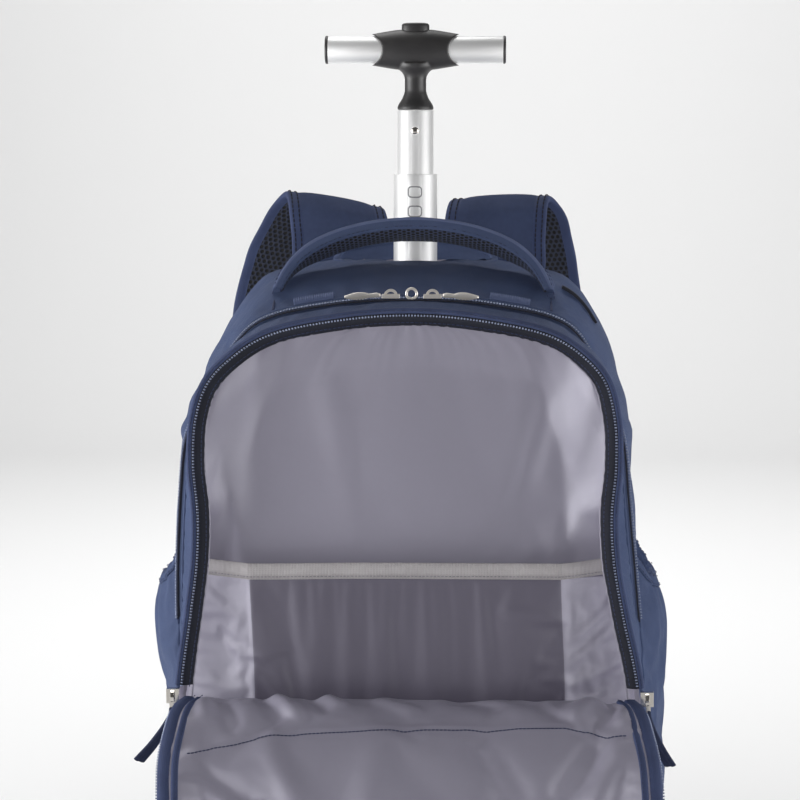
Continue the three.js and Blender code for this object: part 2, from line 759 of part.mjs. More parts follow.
// The carry handle's arch leans back, so that its underside shows from the front.
function makeHandle() {
  const footY = joinY + 44;
  const topAt = (dy) => heightAt(loopAt(footY + dy), handleHalfSpan);
  const slope = (topAt(10) - topAt(-10)) / 20;
  const footZ = topAt(0) + (0.5 * handleThickness + seat) * Math.hypot(1, slope) + seat;
  const steps = 16;
  const stations = Array.from({ length: steps + 1 }, (_, i) => {
    const a = (Math.PI * i) / steps;
    const x = -handleHalfSpan * Math.cos(a);
    const up = handleRise * Math.sin(a) ** 1.32;
    const end = Math.abs(Math.cos(a)) ** 8;
    return {
      at: new THREE.Vector3(x, footY + handleLean * up, footZ + up),
      across: new THREE.Vector3(0, 1, slope * end - handleLean * (1 - end)).normalize(),
      half: (handleWidth / 2) * (1 - 0.35 * end),
    };
  });
  add("carry_handle", strip(stations, handleThickness), navy);
}

// Shoulder straps: from the back panel up, over a fold, and down behind the back.
const strapRows = [
  { up: 0.7, back: 0, out: 0 },
  { up: 0.86, back: 0, out: 0.02 },
  { up: 0.95, back: 0.01, out: 0.04 },
  { up: 0.988, back: 0.08, out: 0.05 },
  { up: 1, back: 0.21, out: 0.07 },
  { up: 0.985, back: 0.34, out: 0.1 },
  { up: 0.94, back: 0.42, out: 0.17 },
  { up: 0.82, back: 0.58, out: 0.32 },
  { up: 0.62, back: 0.84, out: 0.52 },
  { up: 0.42, back: 1, out: 0.68 },
  { up: 0.2, back: 0.94, out: 0.84 },
  { up: 0, back: 0.72, out: 1 },
];
const strapPoses = [
  { name: "left", s: -1, top: bagTop + 34, tilt: 0.24, spread: 20, lean: 12 },
  { name: "right", s: 1, top: bagTop + 37.5, tilt: 0.04, spread: 2, lean: 2 },
];
const tiltRows = [
  { at: 0.7, value: 0.35 },
  { at: 1, value: 1 },
];

function strapStation(pose, row, i) {
  const { s, top, tilt, spread, lean } = pose;
  const rear = i > 4;
  const hang = rear ? smooth((1 - row.up) / 0.25) * (1 - smooth((0.75 - row.up) / 0.6)) : 0;
  const x = strapRootX - (rear ? 0 : lean * (1 - row.up) * 2) + row.out * (strapFootX - strapRootX) + spread * hang;
  const y = backOuterY + seat + strapThickness / 2 + row.back * strapBow;
  const z = strapFoot + row.up * (top - strapFoot);
  const turn = tilt * tableAt(tiltRows, row.up) * (rear ? 1.25 * (row.up > 0.4 ? 1 : row.up / 0.4) : 1);
  return {
    at: new THREE.Vector3(s * x, y, z),
    across: new THREE.Vector3(s * Math.cos(turn), 0, Math.sin(turn)),
    half: (strapWidth / 2) * (1 - 0.22 * smooth((0.5 - row.up) / 0.5)),
    keep: 1,
  };
}

function makeStraps() {
  for (const pose of strapPoses) {
    const rows = strapRows.map((row, i) => strapStation(pose, row, i));
    const middle = new THREE.CatmullRomCurve3(rows.map((r) => r.at), false, "centripetal");
    const steps = 2 * (rows.length - 1);
    const stations = Array.from({ length: steps + 1 }, (_, k) => {
      const i = Math.min(rows.length - 2, Math.floor(k / 2));
      const share = k / 2 - i;
      return {
        at: middle.getPoint(k / steps),
        across: rows[i].across.clone().lerp(rows[i + 1].across, share).normalize(),
        half: rows[i].half + (rows[i + 1].half - rows[i].half) * share,
        keep: 1,
      };
    });
    add(`shoulder_strap_${pose.name}`, strip(stations, strapThickness), navy);
    makeStrapEnd(pose, rows[rows.length - 1]);
  }
}

// Below the pad, webbing runs through a slide buckle down to the bag's lower corner.
function makeStrapEnd({ name, s }, foot) {
  const half = webbingWidth / 2;
  const end = new THREE.Vector3(s * anchorX, backOuterY + seat + webbingThickness / 2, anchorZ);
  const start = foot.at.clone();
  const along = end.clone().sub(start).normalize();
  start.addScaledVector(along, 3);
  const across = new THREE.Vector3(1, 0, 0).addScaledVector(along, -along.x).normalize();
  const stations = [start, start.clone().lerp(end, 0.5), end].map((at) => ({ at, across, half }));
  add(`strap_webbing_${name}`, strip(stations, webbingThickness), navyDark);
  const out = across.clone().cross(along);
  const turn = new THREE.Matrix4().makeBasis(across, along, out);
  const frame = new THREE.BoxGeometry(webbingWidth + 2 * buckleBar, buckleLength, webbingThickness + 2 * buckleBar);
  const room = new THREE.BoxGeometry(webbingWidth + 2 * gap, 2 * buckleLength, webbingThickness + 2 * gap);
  const buckle = cut(frame, room).applyMatrix4(turn);
  add(`strap_buckle_${name}`, buckle, blackPlastic, start.clone().addScaledVector(along, buckleLength).toArray());
}

// The handle's tubes, each with a glide at its foot that runs in the next tube.
const middleTubeRadius = innerTubeRadius + tubeClearance + tubeWall;
const baseTubeRadius = middleTubeRadius + tubeClearance + tubeWall;
const innerTop = middleTubeTop + innerTubeDrawn;
const gripZ = innerTop + gripHeight;

function makePole() {
  const baseBottom = bagBottom + cloth + seat;
  add("base_tube", tubeProfile(baseTubeRadius, baseTubeTop - baseBottom), aluminium, [0, poleY, baseBottom]);
  const middle = tubeProfile(middleTubeRadius, middleTubeLength, middleTubeRadius + tubeClearance - gap);
  const windows = windowDrops.map((drop) => roundedWindow().translate(0, -middleTubeRadius, middleTubeLength - drop));
  add("middle_tube", cut(middle, ...windows), aluminium, [0, poleY, middleTubeTop - middleTubeLength]);
  const inner = tubeProfile(innerTubeRadius, innerTubeLength, innerTubeRadius + tubeClearance - gap);
  const hole = upright(catchRadius + gap, 2 * innerTubeRadius, 12).rotateX(Math.PI / 2);
  hole.translate(0, 0, innerTubeLength - catchDrop);
  add("inner_tube", cut(inner, hole), aluminium, [0, poleY, innerTop - innerTubeLength]);
  makeCatch();
}

function roundedWindow() {
  const [w, h, r] = [windowWidth / 2, windowHeight / 2, 2.4];
  const shape = new THREE.Shape();
  shape.moveTo(-w + r, -h).lineTo(w - r, -h).absarc(w - r, -h + r, r, -Math.PI / 2, 0);
  shape.lineTo(w, h - r).absarc(w - r, h - r, r, 0, Math.PI / 2);
  shape.lineTo(-w + r, h).absarc(-w + r, h - r, r, Math.PI / 2, Math.PI);
  shape.lineTo(-w, -h + r).absarc(-w + r, -h + r, r, Math.PI, 1.5 * Math.PI);
  const made = new THREE.ExtrudeGeometry(shape, { depth: middleTubeRadius, bevelEnabled: false, curveSegments: 2 });
  return made.rotateX(Math.PI / 2).translate(0, middleTubeRadius / 2, 0);
}

// A domed pin that springs out through the front of the inner tube.
function makeCatch() {
  const front = innerTubeRadius + catchDome;
  const profile = [
    [0, 0],
    [catchRadius, 0],
    [catchRadius, catchLength - catchDome - 0.4],
    [0.78 * catchRadius, catchLength - 0.45 * catchDome],
    [0.4 * catchRadius, catchLength - 0.1 * catchDome],
    [0, catchLength],
  ].map(([r, z]) => new THREE.Vector2(r, z));
  const pin = new THREE.LatheGeometry(profile, 8);
  pin.rotateX(Math.PI).translate(0, catchLength - front, 0);
  add("catch_button", pin, chrome, [0, poleY, innerTop - catchDrop]);
}

// The grip's black hub: a swollen barrel with scalloped ends, on a waisted neck.
const hubRows = [
  { x: -1, size: 0.745 },
  { x: -0.72, size: 0.85 },
  { x: -0.4, size: 0.955 },
  { x: 0, size: 1 },
  { x: 0.4, size: 0.955 },
  { x: 0.72, size: 0.85 },
  { x: 1, size: 0.745 },
];
const neckRows = [
  { r: 1, z: 0 },
  { r: 1, z: 0.035 },
  { r: 0.72, z: 0.2 },
  { r: neckRadius / innerTubeRadius, z: 0.33 },
  { r: neckRadius / innerTubeRadius, z: 0.5 },
  { r: 0.7, z: 0.6 },
  { r: 1, z: 0.7 },
];

function makeGrip() {
  const steps = 14;
  const barrel = loft(
    hubRows.map(({ x, size }) =>
      Array.from({ length: steps }, (_, i) => {
        const a = (2 * Math.PI * i) / steps;
        const depth = Math.max(size * hubHalfDepth, barRadius + 1);
        return new THREE.Vector3(x * hubHalfLength, depth * Math.cos(a), size * hubHalfHeight * Math.sin(a));
      }),
    ),
  );
  const profile = [
    [0, -plugLength],
    [innerTubeRadius - tubeWall - gap, -plugLength],
    [innerTubeRadius - tubeWall - gap, gap],
    ...neckRows.map(({ r, z }) => [r * innerTubeRadius, gap + z * (gripHeight - gap)]),
    [0, 0.7 * gripHeight],
  ].map(([r, z]) => new THREE.Vector2(r, z));
  const neck = new THREE.LatheGeometry(profile, 14).rotateX(Math.PI / 2).translate(0, 0, -gripHeight);
  const scallops = sides.map(({ s }) =>
    upright(scallopRadius, 4 * hubHalfDepth, 14, -2 * hubHalfDepth).rotateX(Math.PI / 2).translate(s * scallopCentre, 0, 0),
  );
  const barRoom = sides.map(({ s }) => {
    const start = barStart - gap;
    return upright(barRadius + gap, hubHalfLength, 18).rotateY(s * Math.PI / 2).translate(s * start, 0, 0);
  });
  const buttonRoom = upright(1, 2 * buttonDepth, 20, hubHalfHeight - buttonDepth - buttonTravel - gap);
  buttonRoom.scale(buttonHalfWidth + gap, buttonHalfDepth + gap, 1);
  const hub = cut(join(barrel, neck), ...scallops, ...barRoom, buttonRoom);
  const centre = [0, poleY, gripZ];
  add("grip_hub", hub, blackPlastic, centre);
  for (const { name, s } of sides) {
    const length = gripHalfLength - capThickness - gap - barStart;
    const bar = upright(barRadius, length, 18).rotateY(s * Math.PI / 2).translate(s * barStart, 0, 0);
    add(`grip_bar_${name}`, bar, aluminium, centre);
    const cap = upright(barRadius + 0.3, capThickness, 18).rotateY(s * Math.PI / 2);
    add(`bar_cap_${name}`, cap.translate(s * (gripHalfLength - capThickness), 0, 0), blackPlastic, centre);
  }
  const top = hubHalfHeight + buttonRise;
  const rows = [
    { z: hubHalfHeight - buttonDepth, size: 1 },
    { z: top - 2, size: 1 },
    { z: top - 0.6, size: 0.86 },
    { z: top, size: 0.6 },
  ].map(({ z, size }) =>
    Array.from({ length: steps }, (_, i) => {
      const a = (2 * Math.PI * i) / steps;
      return new THREE.Vector3(size * buttonHalfWidth * Math.cos(a), size * buttonHalfDepth * Math.sin(a), z);
    }),
  );
  add("release_button", loft(rows), blackPlastic, centre);
}

// The moulded base: a tray under the bag with a well round each wheel.
function makeBase() {
  const low = bagBottom - gap - trayFloor;
  const frontEdge = rimY + 6;
  const wellOuter = wheelX + wheelWidth / 2 + wellClearance + wellWall;
  const rear = backOuterY - 2;
  const floor = box([-wellOuter + 12, frontEdge, low], [wellOuter - 12, wellFront + 5, bagBottom - gap]);
  const middle = box([-wellInner - 1, wellFront - 5, low], [wellInner + 1, rear, bagBottom - gap]);
  const wells = sides.map(({ s }) => {
    const [a, b] = [s * wellInner, s * wellOuter];
    const outside = box([Math.min(a, b), wellFront, low], [Math.max(a, b), rear, wellTop]);
    const [c, d] = [s * (wellInner + wellWall), s * (wellOuter - wellWall)];
    const room = box(
      [Math.min(c, d), wellFront + wellWall, low - wheelRadius],
      [Math.max(c, d), rear + wheelRadius, wellTop - wellWall],
    );
    const bore = upright(axleRadius + gap, 2 * wheelX, 12).rotateY(s * Math.PI / 2);
    return cut(outside, room, bore.translate(0, wheelY, wheelRadius));
  });
  add("base_tray", join(floor, middle, ...wells), blackPlastic);
  for (const { name, s } of sides) {
    makeWheel(name, s);
    const foot = loft([
      { z: 0, grow: 0 },
      { z: footHeight - 6, grow: 2 },
      { z: low - gap, grow: 6 },
    ].map(({ z, grow }) => {
      const [x, y] = [18 + grow, 10 + 0.6 * grow];
      const chamfer = 4;
      const corners = [[x - chamfer, -y], [x, chamfer - y], [x, y - chamfer], [x - chamfer, y]];
      return [...corners, ...corners.map(([a, b]) => [-a, -b])].map(([a, b]) => new THREE.Vector3(a, b, z));
    }));
    add(`foot_${name}`, foot, rubber, [s * footX, frontEdge + 22, 0]);
  }
}

function makeWheel(name, s) {
  const half = wheelWidth / 2;
  const rimRadius = wheelRadius - tyreThickness;
  const ring = (points) => new THREE.LatheGeometry([...points, points[0]].map(([r, x]) => new THREE.Vector2(r, x)), 18);
  const tyre = ring([
    [rimRadius, -half + 1],
    [wheelRadius - 3, -half + 1],
    [wheelRadius, -half + 5],
    [wheelRadius, half - 5],
    [wheelRadius - 3, half - 1],
    [rimRadius, half - 1],
  ]).rotateZ(-Math.PI / 2);
  const centre = [s * wheelX, wheelY, wheelRadius];
  add(`wheel_tyre_${name}`, tyre, rubber, centre);
  const web = 3;
  const rim = ring([
    [axleRadius + gap, -half],
    [axleRadius + 5, -half],
    [axleRadius + 6, -web],
    [rimRadius - 4, -web],
    [rimRadius - gap, -half + 2],
    [rimRadius - gap, half - 2],
    [axleRadius + 6, half - 2],
    [axleRadius + 5, half],
    [axleRadius + gap, half],
  ]).rotateZ(-Math.PI / 2);
  add(`wheel_rim_${name}`, rim, greyTape, centre);
  const axleLength = wheelWidth + 2 * wellClearance + 2 * wellWall;
  const axle = upright(axleRadius, axleLength, 12, -axleLength / 2).rotateY(Math.PI / 2);
  add(`axle_${name}`, axle, chrome, centre);
}

// A half ring standing on the XY plane, as thick as given along Y.
function arch(outer, inner, thickness) {
  const shape = new THREE.Shape();
  shape.absarc(0, 0, outer, 0, Math.PI, false).absarc(0, 0, inner, Math.PI, 0, true);
  const made = new THREE.ExtrudeGeometry(shape, { depth: thickness, bevelEnabled: false, curveSegments: 6 });
  return made.rotateX(Math.PI / 2).translate(0, thickness / 2, 0);
}

// Sliders at the ends of the open zip, and the cloth pullers that hang from them.
function makeOpenSliders() {
  const rim = loopAt(rimY);
  const z = foldHeight + 1;
  const pulls = [
    { name: "left", s: -1, reach: 26, drop: 36, back: 10 },
    { name: "right", s: 1, reach: 18, drop: 38, back: 16 },
  ];
  for (const { name, s, reach, drop, back } of pulls) {
    const x = halfWidthAt(rim, z) + 2.5;
    const y = rimY - 5;
    const body = box([-4.5, -2.6, -6], [4.5, 2.6, 4]);
    const loop = arch(4.4, 2.6, 2.4).rotateX(Math.PI / 2).rotateY(Math.PI / 2).translate(0, -2, -1);
    const bail = box([1 * s - 1.5, -1, -bailLength], [1 * s + 1.5, 0.6, -5]);
    add(`slider_${name}`, join(body, loop, bail), chrome, [s * x, y, z]);
    const low = z - bailLength - 1.3;
    const route = [
      [x + 1, y, low],
      [x + 0.22 * reach, y + 0.3 * back, low - 0.26 * drop],
      [x + 0.6 * reach, y + 0.7 * back, low - 0.66 * drop],
      [x + reach, y + back, low - drop],
    ].map(([a, b, c]) => new THREE.Vector3(s * a, b, c));
    const across = new THREE.Vector3(0.5 * s, -0.6, 0.4).normalize();
    const stations = new THREE.CatmullRomCurve3(route).getPoints(6).map((at, i) => ({ at, across, half: 3 + 0.4 * i }));
    add(`puller_${name}`, strip(stations, pullerCloth), navyDark);
  }
}

// Two sliders meet at the top of the main zip, with pull tabs turned out and a ring between them.
function makeTopSliders() {
  const y = joinY + gap + zipWidth / 2;
  const loop = loopAt(y);
  const sliderX = 14.5;
  const lift = seat + tapeCloth + coilRise + gap + seat;
  for (const { name, s } of sides) {
    const z = heightAt(loop, sliderX) + lift;
    const body = box([-6.2, -4.4, 0], [6.2, 4.4, 2.6]);
    const bridge = arch(4.8, 3, 3).translate(0, -1, 1.6);
    add(`top_slider_${name}`, join(body, bridge), chrome, [s * sliderX, y, z]);
    const tab = box([0, -3, 0], [25, 3, 1.6]);
    const hole = box([14, -1.6, -1], [21.5, 1.6, 3]);
    const turned = s < 0 ? cut(tab, hole).rotateZ(Math.PI) : cut(tab, hole);
    add(`pull_tab_${name}`, turned, chrome, [s * (sliderX + 7.2), y - 1, z + gap]);
  }
  const ring = new THREE.TorusGeometry(ringRadius - 1, 1, 5, 10).rotateX(Math.PI / 2);
  const ringY = y - coilRadius - gap - 1.2;
  const ringZ = heightAt(loopAt(ringY), 0) + seat + tapeCloth + coilRise + ringRadius;
  add("lock_ring", ring, chrome, [0, ringY, ringZ]);
}

// Short ribbed flaps beside the zip's sliders, and the black tab on the right shoulder.
function makeTrims() {
  const front = joinY + gap + zipWidth + seat;
  const loop = loopAt(front);
  const [near, far] = [42, 78].map((x) => loop.findIndex((p) => p.x >= x));
  const garage = [
    { out: seat, y: front },
    { out: seat, y: front + 8 },
    { out: seat + 2, y: front + 8 },
    { out: seat + 4, y: front + 4 },
    { out: seat + 3, y: front },
  ];
  for (const { name, s } of sides) {
    const [from, to] = s < 0 ? [-far, -near] : [near, far];
    add(`zip_garage_${name}`, onBag(from, to, garage), navyDark);
  }
  const tabY = joinY + 0.53 * mainDepth;
  const [top, foot] = [0.942, 0.9].map((share) => placeAt(loopAt(tabY), bagBottom + share * bagHeight));
  const tab = [
    { out: seat, y: tabY - 4.5 },
    { out: seat, y: tabY + 4.5 },
    { out: seat + 2.4, y: tabY + 4.5 },
    { out: seat + 2.4, y: tabY - 4.5 },
  ];
  add("shoulder_tab", onBag(top, foot, tab), blackPlastic);
}

makeMainShell();
makeSlotWelt();
makeBackPanel();
makeFrontShell();
makeDivider();
makeBucket();
makeSleeve();
makeFlap();
makeZips();
makePockets();
makeHandle();
makeStraps();
makePole();
makeGrip();
makeBase();
makeOpenSliders();
makeTopSliders();
makeTrims();

// The origin is on the ground under the middle of the bag's length.
const reach = new THREE.Box3().setFromObject(bag);
bag.position.y = -(reach.min.y + reach.max.y) / 2;

export default bag;
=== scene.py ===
# A wheeled backpack, looked at from the front: the front compartment is unzipped, its flap lies
# folded down to the ground, and the single-pole handle is partly drawn out. Metres, +Z up.
import math

import bmesh
import bpy
import numpy as np
from mathutils import Matrix, Vector


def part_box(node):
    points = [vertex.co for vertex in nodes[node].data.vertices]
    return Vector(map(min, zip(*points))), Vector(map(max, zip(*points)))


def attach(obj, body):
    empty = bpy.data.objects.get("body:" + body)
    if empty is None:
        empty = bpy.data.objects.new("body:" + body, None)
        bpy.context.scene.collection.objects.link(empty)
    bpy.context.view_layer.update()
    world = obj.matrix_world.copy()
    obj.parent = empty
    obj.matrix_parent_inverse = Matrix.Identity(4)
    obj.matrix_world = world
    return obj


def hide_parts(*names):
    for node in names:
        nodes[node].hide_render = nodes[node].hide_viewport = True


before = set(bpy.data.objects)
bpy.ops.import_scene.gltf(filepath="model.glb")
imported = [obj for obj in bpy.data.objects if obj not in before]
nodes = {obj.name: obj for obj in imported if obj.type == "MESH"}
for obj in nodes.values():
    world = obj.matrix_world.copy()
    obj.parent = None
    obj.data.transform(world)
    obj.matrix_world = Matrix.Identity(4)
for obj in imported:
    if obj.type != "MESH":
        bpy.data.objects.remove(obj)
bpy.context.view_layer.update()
print("frame loaded:", len(nodes), "CAD nodes")


# Camera and studio

cameraView = {
    "place": (0.052, -1.7413, 0.600),
    "pitchDown": 6.6,  # degrees
    "turnLeft": 1.972,
    "lens": 113.2,
    "sensor": 36,
}

studio = {
    "floorColour": (0.80, 0.80, 0.80),
    "floorSize": 6,
    "backdrop": 2.6,  # how far behind the bag the floor turns up
    "worldColour": (1, 1, 1),
    "worldStrength": 0.09,
    "lamps": [
        {"name": "leftBox", "place": (-1.25, -0.85, 0.50), "aim": (0, 0, 0.3), "size": 1.0, "power": 7.5},
        {"name": "rightBox", "place": (1.30, -0.90, 0.52), "aim": (0, 0, 0.3), "size": 1.0, "power": 6},
        {"name": "topBox", "place": (-0.3, 0.5, 1.9), "aim": (0, 0.05, 0.4), "size": 0.9, "power": 7},
        {"name": "backdropWash", "place": (0, 1.1, 2.2), "aim": (0, 3.2, 0.5), "size": 1.6, "power": 60},
        # these two reach into the open compartment past its rim
        {"name": "leftFill", "place": (-1.5, -0.36, 0.35), "aim": (0, 0, 0.25), "size": 0.9, "power": 25,
         "shadow": False},
        {"name": "rightFill", "place": (1.5, -0.36, 0.35), "aim": (0, 0, 0.25), "size": 0.9, "power": 16,
         "shadow": False},
    ],
}


def makeCamera(view):
    camera = bpy.data.cameras.new("photoCamera")
    camera.lens = view["lens"]
    camera.sensor_width = view["sensor"]
    camera.clip_end = 50
    made = bpy.data.objects.new("photoCamera", camera)
    made.location = view["place"]
    made.rotation_euler = (math.radians(90 - view["pitchDown"]), 0, math.radians(view["turnLeft"]))
    bpy.context.collection.objects.link(made)
    bpy.context.scene.camera = made


def makeStudio(room):
    world = bpy.data.worlds.new("studioAir")
    world.use_nodes = True
    air = world.node_tree.nodes["Background"]
    air.inputs["Color"].default_value = (*room["worldColour"], 1)
    air.inputs["Strength"].default_value = room["worldStrength"]
    bpy.context.scene.world = world
    for lamp in room["lamps"]:
        light = bpy.data.lights.new(lamp["name"], "AREA")
        light.shape = "SQUARE"
        light.size = lamp["size"]
        light.energy = lamp["power"]
        light.use_shadow = lamp.get("shadow", True)
        made = bpy.data.objects.new(lamp["name"], light)
        made.location = lamp["place"]
        toward = Vector(lamp["aim"]) - made.location
        made.rotation_euler = toward.to_track_quat("-Z", "Y").to_euler()
        bpy.context.collection.objects.link(made)
    # a floor that turns up behind the bag in one sweep
    half = room["floorSize"] / 2
    turn = 0.9
    route = [(-half, 0), (room["backdrop"], 0)]
    for k in range(1, 13):
        a = math.pi / 2 * k / 12
        route.append((room["backdrop"] + turn * math.sin(a), turn * (1 - math.cos(a))))
    route.append((room["backdrop"] + turn, half))
    mesh = bmesh.new()
    rows = [[mesh.verts.new((x, y, z)) for x in (-half, half)] for y, z in route]
    for a, b in zip(rows, rows[1:]):
        mesh.faces.new((a[0], a[1], b[1], b[0]))
    floor = bpy.data.meshes.new("studioFloor")
    mesh.to_mesh(floor)
    mesh.free()
    floor.shade_smooth()
    made = bpy.data.objects.new("studioFloor", floor)
    bpy.context.collection.objects.link(made)
    paper = bpy.data.materials.new("studioPaper")
    paper.use_nodes = True
    shader = paper.node_tree.nodes["Principled BSDF"]
    shader.inputs["Base Color"].default_value = (*room["floorColour"], 1)
    shader.inputs["Roughness"].default_value = 0.9
    floor.materials.append(paper)


makeCamera(cameraView)
makeStudio(studio)
bpy.context.scene.view_settings.view_transform = "Standard"
print("camera and studio made")


# Shader nodes

def node(tree, kind, inputs=None, **settings):
    made = tree.nodes.new(kind)
    for key, value in settings.items():
        setattr(made, key, value)
    for key, value in (inputs or {}).items():
        if isinstance(value, bpy.types.NodeSocket):
            tree.links.new(value, made.inputs[key])
        else:
            made.inputs[key].default_value = value
    return made


def maths(tree, operation, *values):
    return node(tree, "ShaderNodeMath", dict(enumerate(values)), operation=operation).outputs[0]


def blendColours(tree, share, first, second):
    return node(tree, "ShaderNodeMix", {0: share, 6: first, 7: second}, data_type="RGBA").outputs[2]


def newGroup(name, inputs, outputs):
    group = bpy.data.node_groups.new(name, "ShaderNodeTree")
    for label, kind, value in inputs:
        socket = group.interface.new_socket(label, in_out="INPUT", socket_type=kind)
        if value is not None:
            socket.default_value = value
    for label, kind in outputs:
        group.interface.new_socket(label, in_out="OUTPUT", socket_type=kind)
    return group, group.nodes.new("NodeGroupInput").outputs, group.nodes.new("NodeGroupOutput").inputs


number, vector, colour = "NodeSocketFloat", "NodeSocketVector", "NodeSocketColor"


# Plain weave: threads cross over and under; a slow noise makes some of them thicker.
def makeWeaveGroup():
    group, start, end = newGroup(
        "plainWeave",
        [("Vector", vector, None), ("Threads", number, 2200.0), ("Unevenness", number, 0.35)],
        [("Height", number), ("Shade", number)],
    )
    scaled = node(group, "ShaderNodeVectorMath", {0: start["Vector"]}, operation="SCALE")
    group.links.new(start["Threads"], scaled.inputs["Scale"])
    parts = node(group, "ShaderNodeSeparateXYZ", {0: scaled.outputs[0]}).outputs
    warp = maths(group, "ABSOLUTE", maths(group, "SINE", maths(group, "MULTIPLY", parts["X"], math.pi)))
    weft = maths(group, "ABSOLUTE", maths(group, "SINE", maths(group, "MULTIPLY", parts["Y"], math.pi)))
    cell = maths(group, "ADD", maths(group, "FLOOR", parts["X"]), maths(group, "FLOOR", parts["Y"]))
    over = maths(group, "PINGPONG", cell, 1.0)
    overWarp = maths(group, "MULTIPLY", warp, maths(group, "MULTIPLY_ADD", weft, 0.5, 0.5))
    overWeft = maths(group, "MULTIPLY", weft, maths(group, "MULTIPLY_ADD", warp, 0.5, 0.5))
    plain = maths(group, "ADD", maths(group, "MULTIPLY", over, overWarp),
                  maths(group, "MULTIPLY", maths(group, "SUBTRACT", 1.0, over), overWeft))
    slub = node(group, "ShaderNodeTexNoise", {"Vector": start["Vector"], "Scale": 260.0, "Detail": 3.0})
    uneven = maths(group, "MULTIPLY", maths(group, "SUBTRACT", slub.outputs[0], 0.5), start["Unevenness"])
    height = maths(group, "ADD", plain, uneven)
    group.links.new(height, end["Height"])
    group.links.new(maths(group, "MULTIPLY_ADD", uneven, 0.9, maths(group, "MULTIPLY_ADD", plain, 0.35, 0.65)),
                    end["Shade"])
    return group


# Ribs across a tape, as in grosgrain, with a fine weave between them.
def makeRibGroup():
    group, start, end = newGroup(
        "tapeRibs",
        [("Vector", vector, None), ("Ribs", number, 1100.0), ("Sharpness", number, 1.5)],
        [("Height", number), ("Shade", number)],
    )
    parts = node(group, "ShaderNodeSeparateXYZ", {0: start["Vector"]}).outputs
    along = maths(group, "MULTIPLY", maths(group, "MULTIPLY", parts["Y"], start["Ribs"]), math.pi)
    rib = maths(group, "POWER", maths(group, "ABSOLUTE", maths(group, "SINE", along)), start["Sharpness"])
    across = maths(group, "MULTIPLY", maths(group, "MULTIPLY", parts["X"], start["Ribs"]), 2.1)
    thread = maths(group, "ABSOLUTE", maths(group, "SINE", across))
    height = maths(group, "MULTIPLY_ADD", thread, 0.3, rib)
    group.links.new(height, end["Height"])
    group.links.new(maths(group, "MULTIPLY_ADD", height, 0.3, 0.65), end["Shade"])
    return group


# Rows of round holes on a hexagonal pitch, as in padding's spacer mesh.
def makeNetGroup():
    group, start, end = newGroup(
        "spacerNet",
        [("Vector", vector, None), ("Pitch", number, 0.0032), ("HoleSize", number, 0.34)],
        [("Hole", number), ("Height", number)],
    )
    inverse = maths(group, "DIVIDE", 1.0, start["Pitch"])
    scaled = node(group, "ShaderNodeVectorMath", {0: start["Vector"]}, operation="SCALE")
    group.links.new(inverse, scaled.inputs["Scale"])
    tall = math.sqrt(3)
    nearest = []
    for shift in ((400, 400 * tall, 0), (400.5, 400.5 * tall, 0)):
        moved = node(group, "ShaderNodeVectorMath", {0: scaled.outputs[0], 1: shift}, operation="ADD")
        wrapped = node(group, "ShaderNodeVectorMath", {0: moved.outputs[0], 1: (1, tall, 1)}, operation="MODULO")
        parts = node(group, "ShaderNodeSeparateXYZ", {0: wrapped.outputs[0]}).outputs
        flat = node(group, "ShaderNodeCombineXYZ", {"X": parts["X"], "Y": parts["Y"]})
        gone = node(group, "ShaderNodeVectorMath", {0: flat.outputs[0], 1: (0.5, tall / 2, 0)}, operation="DISTANCE")
        nearest.append(gone.outputs["Value"])
    distance = maths(group, "MINIMUM", *nearest)
    edge = node(group, "ShaderNodeMapRange", {"Value": distance, "To Min": 1.0, "To Max": 0.0},
                interpolation_type="SMOOTHSTEP")
    group.links.new(maths(group, "MULTIPLY", start["HoleSize"], 0.8), edge.inputs["From Min"])
    group.links.new(maths(group, "MULTIPLY", start["HoleSize"], 1.25), edge.inputs["From Max"])
    group.links.new(edge.outputs[0], end["Hole"])
    group.links.new(maths(group, "SUBTRACT", 1.0, edge.outputs[0]), end["Height"])
    return group


# Fine moulded or rubbed grain, with a slow mottle.
def makeGrainGroup():
    group, start, end = newGroup(
        "fineGrain",
        [("Scale", number, 1800.0), ("Mottle", number, 30.0)],
        [("Height", number), ("Shade", number)],
    )
    place = node(group, "ShaderNodeTexCoord").outputs["Object"]
    fine = node(group, "ShaderNodeTexNoise", {"Vector": place, "Scale": start["Scale"], "Detail": 2.0})
    slow = node(group, "ShaderNodeTexNoise", {"Vector": place, "Scale": start["Mottle"], "Detail": 4.0})
    group.links.new(fine.outputs[0], end["Height"])
    group.links.new(slow.outputs[0], end["Shade"])
    return group


# Rubbed edges, from how sharply the surface bends outward.
def makeWearGroup():
    group, start, end = newGroup("rubbedEdges", [("Amount", number, 0.5)], [("Mask", number)])
    bend = node(group, "ShaderNodeNewGeometry").outputs["Pointiness"]
    raised = node(group, "ShaderNodeMapRange", {"Value": bend, "From Min": 0.52, "From Max": 0.62})
    place = node(group, "ShaderNodeTexCoord").outputs["Object"]
    patch = node(group, "ShaderNodeTexNoise", {"Vector": place, "Scale": 90.0, "Detail": 5.0})
    broken = node(group, "ShaderNodeMapRange", {"Value": patch.outputs[0], "From Min": 0.4, "From Max": 0.65})
    both = maths(group, "MULTIPLY", raised.outputs[0], broken.outputs[0])
    group.links.new(maths(group, "MULTIPLY", both, start["Amount"]), end["Mask"])
    return group


